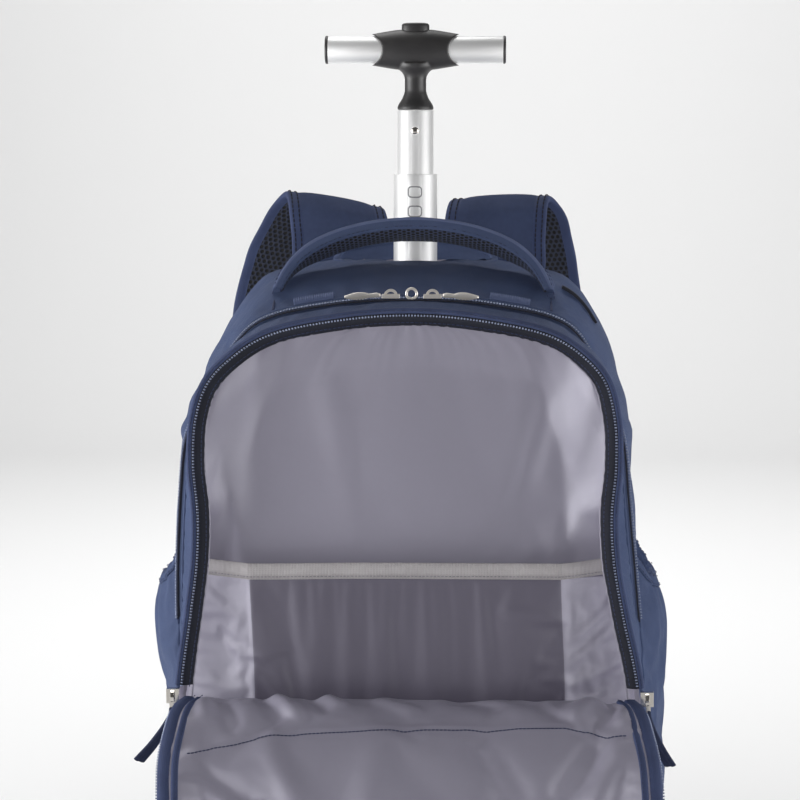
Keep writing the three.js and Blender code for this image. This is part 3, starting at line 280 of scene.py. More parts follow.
# Dust that settles on what faces up, and near the ground.
def makeDustGroup():
    group, start, end = newGroup("settledDust", [("Amount", number, 0.3)], [("Mask", number)])
    up = node(group, "ShaderNodeSeparateXYZ",
              {0: node(group, "ShaderNodeNewGeometry").outputs["Normal"]}).outputs["Z"]
    place = node(group, "ShaderNodeTexCoord").outputs["Object"]
    height = node(group, "ShaderNodeSeparateXYZ", {0: place}).outputs["Z"]
    low = node(group, "ShaderNodeMapRange", {"Value": height, "From Min": 0.12, "From Max": 0.0})
    patch = node(group, "ShaderNodeTexNoise", {"Vector": place, "Scale": 55.0, "Detail": 6.0})
    lying = maths(group, "MAXIMUM", maths(group, "MULTIPLY", up, 0.4), low.outputs[0])
    spread = node(group, "ShaderNodeMapRange", {"Value": patch.outputs[0], "From Min": 0.42, "From Max": 0.7})
    group.links.new(maths(group, "MULTIPLY", maths(group, "MULTIPLY", lying, spread.outputs[0]), start["Amount"]),
                    end["Mask"])
    return group


weaveGroup = makeWeaveGroup()
ribGroup = makeRibGroup()
netGroup = makeNetGroup()
grainGroup = makeGrainGroup()
wearGroup = makeWearGroup()
dustGroup = makeDustGroup()


def fromSrgb(red, green, blue):
    values = [v / 255 for v in (red, green, blue)]
    return (*[v / 12.92 if v <= 0.04045 else ((v + 0.055) / 1.055) ** 2.4 for v in values], 1)


def newMaterial(name, settings):
    made = bpy.data.materials.new(name)
    made.use_nodes = True
    tree = made.node_tree
    shader = tree.nodes["Principled BSDF"]
    for key, value in settings.get("shader", {}).items():
        shader.inputs[key].default_value = value
    made.diffuse_color = fromSrgb(*settings["colour"])
    return made, tree, shader


def useGroup(tree, group, inputs):
    return node(tree, "ShaderNodeGroup", inputs, node_tree=group).outputs


def bump(tree, shader, height, distance, strength=1.0):
    made = node(tree, "ShaderNodeBump", {"Height": height, "Distance": distance, "Strength": strength})
    tree.links.new(made.outputs[0], shader.inputs["Normal"])


# A woven cloth: weave, a slow change of tone, and a little settled dust.
def clothMaterial(name, settings):
    made, tree, shader = newMaterial(name, settings)
    place = node(tree, "ShaderNodeUVMap", uv_map="UVMap").outputs[0]
    weave = useGroup(tree, weaveGroup,
                     {"Vector": place, "Threads": settings["threads"], "Unevenness": settings["slub"]})
    grain = useGroup(tree, grainGroup, {"Scale": 900.0, "Mottle": settings["mottleScale"]})
    dust = useGroup(tree, dustGroup, {"Amount": settings["dust"]})
    base = fromSrgb(*settings["colour"])
    deep = tuple(v * settings["threadShade"] for v in base[:3]) + (1,)
    woven = blendColours(tree, weave["Shade"], deep, base)
    pale = fromSrgb(*settings["pale"])
    mottle = node(tree, "ShaderNodeMapRange",
                  {"Value": grain["Shade"], "From Min": 0.35, "From Max": 0.7, "To Max": settings["mottle"]})
    toned = blendColours(tree, mottle.outputs[0], woven, pale)
    dusty = blendColours(tree, dust["Mask"], toned, fromSrgb(170, 165, 158))
    tree.links.new(dusty, shader.inputs["Base Color"])
    rough = node(tree, "ShaderNodeMapRange",
                 {"Value": grain["Shade"], "To Min": settings["rough"][0], "To Max": settings["rough"][1]})
    tree.links.new(rough.outputs[0], shader.inputs["Roughness"])
    bump(tree, shader, weave["Height"], settings["relief"])
    return made


def tapeMaterial(name, settings):
    made, tree, shader = newMaterial(name, settings)
    place = node(tree, "ShaderNodeUVMap", uv_map="UVMap").outputs[0]
    ribs = useGroup(tree, ribGroup, {"Vector": place, "Ribs": settings["ribs"]})
    grain = useGroup(tree, grainGroup, {"Scale": 900.0, "Mottle": 60.0})
    base = fromSrgb(*settings["colour"])
    deep = tuple(v * settings["threadShade"] for v in base[:3]) + (1,)
    woven = blendColours(tree, ribs["Shade"], deep, base)
    mottle = node(tree, "ShaderNodeMapRange",
                  {"Value": grain["Shade"], "From Min": 0.4, "From Max": 0.75, "To Max": 0.25})
    tree.links.new(blendColours(tree, mottle.outputs[0], woven, fromSrgb(*settings["pale"])),
                   shader.inputs["Base Color"])
    bump(tree, shader, ribs["Height"], settings["relief"])
    return made


def netMaterial(name, settings):
    made, tree, shader = newMaterial(name, settings)
    place = node(tree, "ShaderNodeUVMap", uv_map="UVMap").outputs[0]
    net = useGroup(tree, netGroup, {"Vector": place, "Pitch": settings["pitch"], "HoleSize": settings["hole"]})
    weave = useGroup(tree, weaveGroup, {"Vector": place, "Threads": 2600.0, "Unevenness": 0.5})
    threads = blendColours(tree, weave["Shade"], fromSrgb(*settings["deep"]), fromSrgb(*settings["colour"]))
    tree.links.new(blendColours(tree, net["Hole"], threads, fromSrgb(*settings["deep"])), shader.inputs["Base Color"])
    height = maths(tree, "MULTIPLY_ADD", weave["Height"], 0.15, net["Height"])
    bump(tree, shader, height, settings["relief"])
    return made


# Moulded plastic, rubber or metal: grain, rubbed edges and dust.
def hardMaterial(name, settings):
    made, tree, shader = newMaterial(name, settings)
    grain = useGroup(tree, grainGroup, {"Scale": settings["grain"], "Mottle": 45.0})
    wear = useGroup(tree, wearGroup, {"Amount": settings["wear"]})
    dust = useGroup(tree, dustGroup, {"Amount": settings["dust"]})
    base = fromSrgb(*settings["colour"])
    mottle = node(tree, "ShaderNodeMapRange",
                  {"Value": grain["Shade"], "From Min": 0.35, "From Max": 0.7, "To Max": settings["mottle"]})
    toned = blendColours(tree, mottle.outputs[0], base, fromSrgb(*settings["pale"]))
    worn = blendColours(tree, wear["Mask"], toned, fromSrgb(*settings["pale"]))
    tree.links.new(blendColours(tree, dust["Mask"], worn, fromSrgb(150, 144, 136)), shader.inputs["Base Color"])
    rough = node(tree, "ShaderNodeMapRange",
                 {"Value": grain["Shade"], "To Min": settings["rough"][0], "To Max": settings["rough"][1]})
    duller = maths(tree, "MULTIPLY_ADD", dust["Mask"], 0.4, rough.outputs[0])
    tree.links.new(duller, shader.inputs["Roughness"])
    bump(tree, shader, grain["Height"], settings["relief"])
    return made


finishes = {
    "navyFabric": {
        "colour": (60, 72, 103), "pale": (80, 93, 127), "threads": 2300.0, "slub": 0.5, "threadShade": 0.6,
        "mottle": 0.25, "mottleScale": 26.0, "dust": 0.05, "rough": (0.6, 0.78), "relief": 0.00012,
        "shader": {"Specular IOR Level": 0.22, "Sheen Weight": 0.03, "Sheen Roughness": 0.5,
                   "Sheen Tint": (0.4, 0.5, 0.9, 1)},
    },
    "strapFabric": {
        "colour": (53, 63, 92), "pale": (72, 83, 116), "threads": 1500.0, "slub": 0.7, "threadShade": 0.5,
        "mottle": 0.2, "mottleScale": 34.0, "dust": 0.04, "rough": (0.7, 0.88), "relief": 0.0002,
        "shader": {"Specular IOR Level": 0.18, "Sheen Weight": 0.03, "Sheen Roughness": 0.5,
                   "Sheen Tint": (0.4, 0.5, 0.9, 1)},
    },
    "greyLining": {
        "colour": (130, 127, 141), "pale": (150, 147, 162), "threads": 2600.0, "slub": 0.25, "threadShade": 0.84,
        "mottle": 0.1, "mottleScale": 14.0, "dust": 0.02, "rough": (0.31, 0.41), "relief": 0.00004,
        "shader": {"Specular IOR Level": 0.9, "Specular Tint": (0.93, 0.92, 1.0, 1)},
    },
}
# the lining over the sleeve's front between the creases, painted darker: painted shade for the dim light that falls
# on that front
finishes["shadedLining"] = {**finishes["greyLining"], "colour": (84, 80, 94), "pale": (98, 95, 108)}
tapes = {
    "darkTape": {"colour": (30, 38, 66), "pale": (50, 60, 94), "ribs": 1300.0, "threadShade": 0.5, "relief": 0.00016,
                 "shader": {"Roughness": 0.7, "Specular IOR Level": 0.3}},
    "navyTape": {"colour": (52, 62, 94), "pale": (74, 86, 124), "ribs": 1250.0, "threadShade": 0.55,
                 "relief": 0.00018,
                 "shader": {"Roughness": 0.68, "Specular IOR Level": 0.25}},
    "pipingTape": {"colour": (76, 87, 120), "pale": (96, 108, 142), "ribs": 1250.0, "threadShade": 0.6,
                   "relief": 0.00018,
                   "shader": {"Roughness": 0.6, "Specular IOR Level": 0.3}},
    "greyTape": {"colour": (158, 154, 156), "pale": (182, 179, 180), "ribs": 950.0, "threadShade": 0.62,
                 "relief": 0.00025,
                 "shader": {"Roughness": 0.7}},
    "navyThread": {"colour": (34, 42, 72), "pale": (58, 68, 104), "ribs": 3000.0, "threadShade": 0.6,
                   "relief": 0.00005,
                   "shader": {"Roughness": 0.6, "Specular IOR Level": 0.3}},
    "greyThread": {"colour": (122, 119, 128), "pale": (150, 148, 156), "ribs": 3000.0, "threadShade": 0.6,
                   "relief": 0.00005,
                   "shader": {"Roughness": 0.6}},
    "blackTape": {"colour": (18, 21, 34), "pale": (36, 40, 58), "ribs": 1300.0, "threadShade": 0.5, "relief": 0.00016,
                  "shader": {"Roughness": 0.72, "Specular IOR Level": 0.3}},
}
nets = {
    "spacerMesh": {"colour": (44, 50, 70), "deep": (5, 6, 9), "pitch": 0.0040, "hole": 0.32, "relief": 0.0014,
                   "shader": {"Roughness": 0.8, "Specular IOR Level": 0.35}},
    "handleNet": {"colour": (58, 67, 94), "deep": (6, 7, 11), "pitch": 0.0038, "hole": 0.33, "relief": 0.0012,
                  "shader": {"Roughness": 0.8, "Specular IOR Level": 0.35}},
}
hardFinishes = {
    "blackPlastic": {"colour": (44, 43, 44), "pale": (80, 79, 81), "grain": 2600.0, "wear": 0.3, "dust": 0.25,
                     "mottle": 0.1,
                     "rough": (0.38, 0.5), "relief": 0.00002},
    "greyPlastic": {"colour": (120, 121, 124), "pale": (160, 161, 165), "grain": 2600.0, "wear": 0.4, "dust": 0.5,
                    "mottle": 0.1,
                    "rough": (0.36, 0.5), "relief": 0.00002},
    "rubber": {"colour": (32, 32, 33), "pale": (66, 65, 64), "grain": 2200.0, "wear": 0.5, "dust": 0.6,
               "mottle": 0.15,
               "rough": (0.68, 0.85), "relief": 0.00005},
    "darkTeeth": {"colour": (118, 127, 152), "pale": (160, 168, 190), "grain": 2000.0, "wear": 0.2, "dust": 0.0,
                  "mottle": 0.2,
                  "rough": (0.2, 0.3), "relief": 0.00001, "shader": {"Metallic": 0.4}},
    "brightMetal": {"colour": (228, 222, 214), "pale": (242, 238, 232), "grain": 1500.0, "wear": 0.1, "dust": 0.0,
                    "mottle": 0.2,
                    "rough": (0.3, 0.4), "relief": 0.000004, "shader": {"Metallic": 0.55}},
    "aluminium": {"colour": (238, 238, 238), "pale": (246, 246, 246), "grain": 3200.0, "wear": 0.05, "dust": 0.0,
                  "mottle": 0.15,
                  "rough": (0.4, 0.5), "relief": 0.00001, "shader": {"Metallic": 0.6}},
    "chrome": {"colour": (226, 221, 214), "pale": (240, 236, 230), "grain": 1500.0, "wear": 0.1, "dust": 0.0,
               "mottle": 0.2,
               "rough": (0.1, 0.18), "relief": 0.000004, "shader": {"Metallic": 1.0}},
}
materials = {
    **{name: clothMaterial(name, settings) for name, settings in finishes.items()},
    **{name: tapeMaterial(name, settings) for name, settings in tapes.items()},
    **{name: netMaterial(name, settings) for name, settings in nets.items()},
    **{name: hardMaterial(name, settings) for name, settings in hardFinishes.items()},
}
print("materials made:", len(materials))


# Curves and tables

def smooth(share):
    c = np.clip(share, 0, 1)
    return c * c * (3 - 2 * c)


# A smooth line through a given table of (at, value) rows, without overshoot.
def tableAt(rows, at):
    x = np.array([r[0] for r in rows], float)
    y = np.array([r[1] for r in rows], float)
    step = np.diff(x)
    slope = np.diff(y) / step
    lean = np.zeros(len(x))
    lean[1:-1] = np.where(slope[:-1] * slope[1:] > 0, (slope[:-1] + slope[1:]) / 2, 0)
    lean[0], lean[-1] = slope[0], slope[-1]
    limit = 3 * np.minimum(np.abs(np.append(slope, slope[-1])), np.abs(np.insert(slope, 0, slope[0])))
    lean = np.clip(lean, -limit, limit)
    at = np.clip(np.asarray(at, float), x[0], x[-1])
    i = np.clip(np.searchsorted(x, at, side="right") - 1, 0, len(step) - 1)
    t = (at - x[i]) / step[i]
    t2, t3 = t * t, t * t * t
    return (y[i] * (2 * t3 - 3 * t2 + 1) + lean[i] * step[i] * (t3 - 2 * t2 + t)
            + y[i + 1] * (3 * t2 - 2 * t3) + lean[i + 1] * step[i] * (t3 - t2))


def evenly(line, count, closed=False):
    line = np.asarray(line, float)
    if closed:
        line = np.vstack([line, line[:1]])
    run = np.insert(np.cumsum(np.linalg.norm(np.diff(line, axis=0), axis=1)), 0, 0)
    targets = np.linspace(0, run[-1], count + 1)[:-1] if closed else np.linspace(0, run[-1], count)
    return np.stack([np.interp(targets, run, line[:, k]) for k in range(line.shape[1])], 1)


# A smooth curve through points, closed or open, with its points evenly spaced.
def curveThrough(points, count, closed=False, fine=24):
    p = np.asarray(points, float)
    if closed:
        p = np.vstack([p[-1:], p, p[:2]])
    else:
        p = np.vstack([2 * p[:1] - p[1:2], p, 2 * p[-1:] - p[-2:-1]])
    t = (np.arange(fine) / fine)[:, None]
    t2, t3 = t * t, t * t * t
    pieces = []
    for a, b, c, d in zip(p, p[1:], p[2:], p[3:]):
        before, here, after = [max(np.linalg.norm(v) ** 0.5, 1e-6) for v in (b - a, c - b, d - c)]
        into = ((b - a) / before - (c - a) / (before + here) + (c - b) / here) * here
        out = ((c - b) / here - (d - b) / (here + after) + (d - c) / after) * here
        pieces.append(b * (2 * t3 - 3 * t2 + 1) + into * (t3 - 2 * t2 + t) + c * (3 * t2 - 2 * t3) + out * (t3 - t2))
    line = np.vstack(pieces if closed else [*pieces, p[-2:-1]])
    return evenly(line, count, closed)


def unit(v):
    v = np.asarray(v, float)
    return v / np.maximum(np.linalg.norm(v, axis=-1, keepdims=True), 1e-12)


def slopes(line, closed=False):
    if closed:
        return unit(np.roll(line, -1, axis=0) - np.roll(line, 1, axis=0))
    return unit(np.gradient(line, axis=0))


def gridNormals(grid, closed=False):
    down = np.gradient(grid, axis=0)
    if closed:
        across = np.roll(grid, -1, axis=1) - np.roll(grid, 1, axis=1)
    else:
        across = np.gradient(grid, axis=1)
    return unit(np.cross(down, across))


# Distances along a grid in metres, so that weaves keep their real scale.
def gridPlaces(grid, closed=False):
    full = np.concatenate([grid, grid[:, :1]], axis=1) if closed else grid
    across = np.linalg.norm(np.diff(full, axis=1), axis=2)
    u = np.concatenate([np.zeros((len(grid), 1)), np.cumsum(across, axis=1)], axis=1)
    u = u - u[:, [u.shape[1] // 2]]
    down = np.linalg.norm(np.diff(full, axis=0), axis=2)
    v = np.concatenate([np.zeros((1, full.shape[1])), np.cumsum(down, axis=0)], axis=0)
    return np.stack([u, v], axis=2)


# Meshes

def newObject(name, mesh, finishNames, body="bag"):
    made = bpy.data.objects.new(name, mesh)
    bpy.context.collection.objects.link(made)
    for finish in finishNames:
        mesh.materials.append(materials[finish])
    mesh.shade_smooth()
    if body:
        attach(made, body)
    return made


# A mesh from a grid of points; keepFaces says which of its faces are made.
def gridMesh(name, grid, closed=False, keepFaces=None, flip=False):
    rows, cols = grid.shape[:2]
    spans = cols if closed else cols - 1
    places = gridPlaces(grid, closed)
    faces, corners = [], []
    for r in range(rows - 1):
        for c in range(spans):
            if keepFaces is not None and not keepFaces[r, c]:
                continue
            d = (c + 1) % cols
            face = [r * cols + c, r * cols + d, (r + 1) * cols + d, (r + 1) * cols + c]
            corner = [places[r, c], places[r, c + 1], places[r + 1, c + 1], places[r + 1, c]]
            faces.append(face[::-1] if flip else face)
            corners.extend(corner[::-1] if flip else corner)
    mesh = bpy.data.meshes.new(name)
    mesh.from_pydata(grid.reshape(-1, 3).tolist(), [], faces)
    layer = mesh.uv_layers.new(name="UVMap")
    layer.data.foreach_set("uv", np.array(corners, np.float32).ravel())
    if keepFaces is not None:
        tidy = bmesh.new()
        tidy.from_mesh(mesh)
        loose = [v for v in tidy.verts if not v.link_faces]
        bmesh.ops.delete(tidy, geom=loose, context="VERTS")
        tidy.to_mesh(mesh)
        tidy.free()
    return mesh


# Merges near points, closes holes and turns all faces outward, in place.
def mend(mesh, merge=None, holes=False):
    tidy = bmesh.new()
    tidy.from_mesh(mesh)
    if merge:
        bmesh.ops.remove_doubles(tidy, verts=tidy.verts, dist=merge)
    if holes:
        bmesh.ops.holes_fill(tidy, edges=[e for e in tidy.edges if e.is_boundary], sides=0)
    bmesh.ops.recalc_face_normals(tidy, faces=tidy.faces)
    tidy.to_mesh(mesh)
    tidy.free()
    return mesh

def rounded(obj, levels=1):
    rounding = obj.modifiers.new("rounding", "SUBSURF")
    rounding.levels = rounding.render_levels = levels

# Which way a sheet's thickness goes, so that its face towards a direction keeps its place.
def awayFrom(obj, toward):
    facing = sum((face.normal for face in obj.data.polygons), Vector())
    return -1 if facing.dot(Vector(toward)) > 0 else 1

def thicken(obj, thickness, innerFinish=None, outside=-1, rounds=0):
    solid = obj.modifiers.new("thickness", "SOLIDIFY")
    solid.thickness = thickness
    solid.offset = outside
    if innerFinish:
        obj.data.materials.append(materials[innerFinish])
        solid.material_offset = 1
    if rounds:
        rounded(obj, rounds)


def applyModifiers(obj):
    evaluated = obj.evaluated_get(bpy.context.evaluated_depsgraph_get())
    mesh = bpy.data.meshes.new_from_object(evaluated)
    old = obj.data
    obj.modifiers.clear()
    obj.data = mesh
    bpy.data.meshes.remove(old)


def bevel(obj, width, segments=2, angle=35):
    made = obj.modifiers.new("edges", "BEVEL")
    made.width = width
    made.segments = segments
    made.angle_limit = math.radians(angle)
    made.limit_method = "ANGLE"
    made.harden_normals = False


# A cross-section swept along a line. Each section point is (across, up); bands says which material
# each of its sides takes, and grow scales the section along the line.
def sweep(line, across, section, closed=False, grow=None, bands=None, name="swept", square=True):
    line, section = np.asarray(line, float), np.asarray(section, float)
    along = slopes(line, closed)
    across = np.broadcast_to(np.asarray(across, float), line.shape)
    if square:
        across = unit(across - along * np.sum(along * across, axis=1, keepdims=True))
    up = unit(np.cross(across, along))
    size = np.ones((len(line), 2)) if grow is None else np.asarray(grow, float)
    points = (line[:, None] + across[:, None] * (section[:, 0] * size[:, :1])[..., None]
              + up[:, None] * (section[:, 1] * size[:, 1:])[..., None])
    rows, cols = points.shape[:2]
    around = np.append(0, np.cumsum(np.linalg.norm(np.diff(np.vstack([section, section[:1]]), axis=0), axis=1)))
    steps = np.linalg.norm(np.diff(np.vstack([line, line[:1]]) if closed else line, axis=0), axis=1)
    length = np.append(0, np.cumsum(steps))
    faces, corners, kinds = [], [], []
    for r in range(rows if closed else rows - 1):
        q = (r + 1) % rows
        for c in range(cols):
            d = (c + 1) % cols
            faces.append((r * cols + c, r * cols + d, q * cols + d, q * cols + c))
            corners += [(around[c], length[r]), (around[c + 1], length[r]), (around[c + 1], length[r + 1]),
                        (around[c], length[r + 1])]
            kinds.append(bands[c] if bands else 0)
    if not closed:
        for start, order in ((0, range(cols - 1, -1, -1)), ((rows - 1) * cols, range(cols))):
            faces.append([start + c for c in order])
            corners += [tuple(section[c]) for c in order]
            kinds.append(0)
    mesh = bpy.data.meshes.new(name)
    mesh.from_pydata(points.reshape(-1, 3).tolist(), [], faces)
    mesh.uv_layers.new(name="UVMap").data.foreach_set("uv", np.array(corners, np.float32).ravel())
    mesh.polygons.foreach_set("material_index", kinds)
    return mend(mesh)


def roundSection(halfWidth, halfHeight, steps=10, square=2.0):
    angles = 2 * math.pi * (np.arange(steps) + 0.5) / steps
    c, s = np.cos(angles), np.sin(angles)
    return np.stack([halfWidth * np.sign(c) * np.abs(c) ** (2 / square),
                     halfHeight * np.sign(s) * np.abs(s) ** (2 / square)], 1)


# Many small copies of one shape along a line, as one mesh: zip teeth and stitches.
def rowOf(name, line, across, up, shape, faces, pitch, finish, phase=0.0):
    line, shape = np.asarray(line, float), np.asarray(shape, float)
    gaps = np.linalg.norm(np.diff(line, axis=0), axis=1)
    count = max(2, int(gaps.sum() / pitch))
    share = np.linspace(0, 1, len(line))
    run = np.insert(np.cumsum(gaps), 0, 0) / gaps.sum()
    at = np.interp((np.arange(count) + phase) / count, run, share)

    def pick(values):
        values = np.broadcast_to(np.asarray(values, float), line.shape)
        return np.stack([np.interp(at, share, values[:, k]) for k in range(3)], 1)

    forward, side = unit(pick(slopes(line))), pick(across)
    side = unit(side - forward * np.sum(forward * side, axis=1, keepdims=True))
    rise = unit(np.cross(side, forward))
    rise *= np.sign(np.sum(rise * pick(up), axis=1, keepdims=True))
    points = (pick(line)[:, None] + side[:, None] * shape[None, :, :1] + forward[:, None] * shape[None, :, 1:2]
              + rise[:, None] * shape[None, :, 2:])
    total = [[i + k * len(shape) for i in face] for k in range(count) for face in faces]
    mesh = bpy.data.meshes.new(name)
    mesh.from_pydata(points.reshape(-1, 3).tolist(), [], total)
    mesh.uv_layers.new(name="UVMap")
    return newObject(name, mend(mesh), [finish])

# A small pill: six-sided, tapered at both ends.
def pill(length, width, height):
    rows = []
    for y, size in ((-0.5, 0.45), (-0.3, 1), (0.3, 1), (0.5, 0.45)):
        for k in range(6):
            a = math.pi * k / 3
            rows.append((0.5 * width * size * math.cos(a), y * length, 0.5 * height * size * math.sin(a)))
    faces = [[r * 6 + k, r * 6 + (k + 1) % 6, r * 6 + 6 + (k + 1) % 6,
              r * 6 + 6 + k] for r in range(3) for k in range(6)]
    return rows, [*faces, list(range(5, -1, -1)), list(range(18, 24))]


def stitches(name, line, across, up, finish, pitch=0.0031, length=0.0023, size=0.0006):
    rowOf(name, line, across, up, *pill(length, size, size), pitch, finish)


# Cloth simulation: every sheet waits here, and all of them move in the same frames.

clothSettings = {
    "frames": 22,
    "quality": 5,
    "mass": 0.18,
    "tension": 18,
    "bending": 0.35,
    "damping": 6,
}
waiting = []


# grid is moved in place. pinned is the share that each point keeps its place, grow the spare cloth,
# pressure the push along its normals, and cap how far a point may move.
def waitForCloth(name, grid, pinned, grow, cap, pressure=0.0, gravity=0.0, closed=False):
    waiting.append({"name": name, "grid": grid, "pinned": pinned, "grow": grow, "cap": cap, "pressure": pressure,
                    "gravity": gravity, "closed": closed})
    return grid


def settleCloth(settings):
    scene = bpy.context.scene
    objects = []
    for piece in waiting:
        mesh = gridMesh(piece["name"] + "Rest", piece["grid"], piece["closed"])
        obj = bpy.data.objects.new(piece["name"] + "Rest", mesh)
        bpy.context.collection.objects.link(obj)
        group = obj.vertex_groups.new(name="sewn")
        for index, weight in enumerate(np.asarray(piece["pinned"], float).ravel()):
            if weight > 0:
                group.add([index], float(weight), "REPLACE")
        cloth = obj.modifiers.new("cloth", "CLOTH")
        cloth.point_cache.frame_start = 1
        cloth.point_cache.frame_end = settings["frames"]
        s = cloth.settings
        s.quality = settings["quality"]
        s.mass = settings["mass"]
        s.tension_stiffness = s.compression_stiffness = settings["tension"]
        s.shear_stiffness = settings["tension"] * 0.5
        s.bending_stiffness = settings["bending"]
        s.tension_damping = s.compression_damping = s.shear_damping = settings["damping"]
        s.air_damping = 4
        s.vertex_group_mass = "sewn"
        s.pin_stiffness = 1
        s.shrink_min = s.shrink_max = -piece["grow"]
        s.effector_weights.gravity = piece["gravity"]
        if piece["pressure"]:
            s.use_pressure = True
            s.uniform_pressure_force = piece["pressure"]
        cloth.collision_settings.use_collision = False
        cloth.collision_settings.use_self_collision = False
        objects.append(obj)
    for number in range(1, settings["frames"] + 1):
        scene.frame_set(number)
    dg = bpy.context.evaluated_depsgraph_get()
    for piece, obj in zip(waiting, objects):
        moved = obj.evaluated_get(dg).to_mesh()
        co = np.empty(len(moved.vertices) * 3)
        moved.vertices.foreach_get("co", co)
        shift = co.reshape(piece["grid"].shape) - piece["grid"]
        far = np.linalg.norm(shift, axis=2, keepdims=True)
        shift *= piece["cap"] * np.tanh(far / piece["cap"]) / np.maximum(far, 1e-9)
        piece["grid"] += shift * (1 - np.asarray(piece["pinned"])[..., None])
        mesh = obj.data
        bpy.data.objects.remove(obj)
        bpy.data.meshes.remove(mesh)
    scene.frame_set(1)
    print("cloth settled:", ", ".join(piece["name"] for piece in waiting))


# Folds: each is a soft ridge from one point to another, in the sheet's own flat places.
def foldHeights(x, y, folds):
    height = np.zeros_like(x)
    for a, b, width, rise in folds:
        a, b = np.array(a, float), np.array(b, float)
        run = b - a
        length = np.linalg.norm(run)
        t = ((x - a[0]) * run[0] + (y - a[1]) * run[1]) / length**2
        aside = ((x - a[0]) * -run[1] + (y - a[1]) * run[0]) / length
        fade = smooth((t + 0.25) / 0.4) * smooth((1.25 - t) / 0.4)
        height += rise * np.exp(-((aside / width) ** 2)) * fade
    return height


# Uneven waves along a seam, as gathered cloth makes.
def gathers(at, pitch, seed):
    chance = np.random.default_rng(seed)
    phases = chance.uniform(0, 2 * math.pi, 3)
    return (0.55 * np.sin(2 * math.pi * at / pitch + phases[0]) + 0.3 * np.sin(2 * math.pi * at / (pitch * 1.63) + phases[1])
            + 0.25 * np.sin(2 * math.pi * at / (pitch * 0.71) + phases[2]))


# The bag's own form

bagForm = {
    "halfWidth": 0.166,
    "bottom": 0.024,
    "top": 0.493,
    "frontDepth": 0.041,
    "mainDepth": 0.117,
    "rimHalfWidth": 0.160,
    "rimTop": 0.464,
    "foldHeight": 0.198,
    "cloth": 0.002,
    "points": 416,  # round each outline
    # how far the filled bag leans to the left of its pole, by height
    "lean": [(0.08, 0), (0.20, -0.0005), (0.27, -0.0035), (0.34, -0.005), (0.40, -0.004), (0.445, -0.0005), (0.5, 0)],
    "leanByDepth": [(-0.19, 0.2), (-0.041, 0.75), (0.05, 1.25), (0.117, 0.35)],
    "rimOutline": [
        (0, 1), (0.3, 0.992), (0.61, 0.967), (0.76, 0.933), (0.86, 0.892), (0.91, 0.833), (0.92, 0.758), (0.903,
                                                    0.683),
        (0.91, 0.612), (0.945, 0.527), (1, 0.411), (1.02, 0.26), (1, 0.1), (0.93, 0.018), (0.8, 0), (0, 0),
    ],
    "bodyOutline": [
        (0, 1), (0.35, 0.992), (0.66, 0.962), (0.785, 0.905), (0.88, 0.834), (0.93, 0.782), (0.957, 0.686), (0.98,
                                                    0.565),
        (1, 0.384), (1, 0.15), (0.98, 0.045), (0.9, 0.004), (0.78, 0), (0, 0),
    ],
}

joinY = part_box("main_shell")[0].y - 0.00015
rimY = joinY - bagForm["frontDepth"]
backY = joinY + bagForm["mainDepth"]
foldHeight = bagForm["foldHeight"]
sides = ((-1, "left"), (1, "right"))


def archLoop(shares, halfWidth, top):
    right = [(x * halfWidth, bagForm["bottom"] + z * (top - bagForm["bottom"])) for x, z in shares]
    left = [(-x, z) for x, z in right[1:-1]][::-1]
    loop = curveThrough([*right, *left], bagForm["points"], closed=True)
    loop[:, 1] = np.maximum(loop[:, 1], bagForm["bottom"])
    return loop


def bagSections():
    half, height = bagForm["halfWidth"], bagForm["top"] - bagForm["bottom"]
    rim, body = bagForm["rimOutline"], bagForm["bodyOutline"]
    low, top = bagForm["bottom"], bagForm["top"]
    deep = bagForm["mainDepth"]
    rows = [
        (rimY, rim, bagForm["rimHalfWidth"], bagForm["rimTop"]),
        (joinY - 0.45 * bagForm["frontDepth"], rim, 0.957 * half, bagForm["rimTop"] + 0.002),
        (joinY, body, 0.975 * half, low + 0.939 * height),
        (joinY + 0.24 * deep, body, 0.99 * half, low + 0.958 * height),
        (joinY + 0.52 * deep, body, half, low + 0.98 * height),
        (joinY + 0.8 * deep, body, 0.99 * half, top),
        (backY, body, 0.965 * half, top - 0.003),
    ]
    return np.array([r[0] for r in rows]), np.array([archLoop(*r[1:]) for r in rows])


sectionYs, sectionLoops = bagSections()


def lean(y, z):
    return tableAt(bagForm["lean"], z) * tableAt(bagForm["leanByDepth"], y)


# The bag's outline at a depth and at a distance outside it, as points (x, y, z) from the top centre
# to the right, down, and round.
def loopAt(y, out=0.0, leaning=True):
    i = int(np.clip(np.searchsorted(sectionYs, y) - 1, 0, len(sectionYs) - 2))
    t = (y - sectionYs[i]) / (sectionYs[i + 1] - sectionYs[i])
    loop = sectionLoops[i] * (1 - t) + sectionLoops[i + 1] * t
    along = np.roll(loop, -1, axis=0) - np.roll(loop, 1, axis=0)
    normal = unit(np.stack([-along[:, 1], along[:, 0]], 1))
    loop = loop + normal * np.asarray(out)[..., None]
    made = np.stack([loop[:, 0], np.full(len(loop), y), loop[:, 1]], 1)
    if leaning:
        made[:, 0] += lean(y, made[:, 2])
    return made


def outwardAt(y):
    loop = loopAt(y, leaning=False)
    along = np.roll(loop, -1, axis=0) - np.roll(loop, 1, axis=0)
    return unit(np.stack([-along[:, 2], np.zeros(len(loop)), along[:, 0]], 1))


# Points of an outline between two part counts, which may be negative: 0 is the top centre.
def between(values, start, end, count):
    at = np.linspace(start, end, count)
    size = len(values)
    low = np.floor(at).astype(int)
    share = (at - low)[:, None]
    return values[low % size] * (1 - share) + values[(low + 1) % size] * share


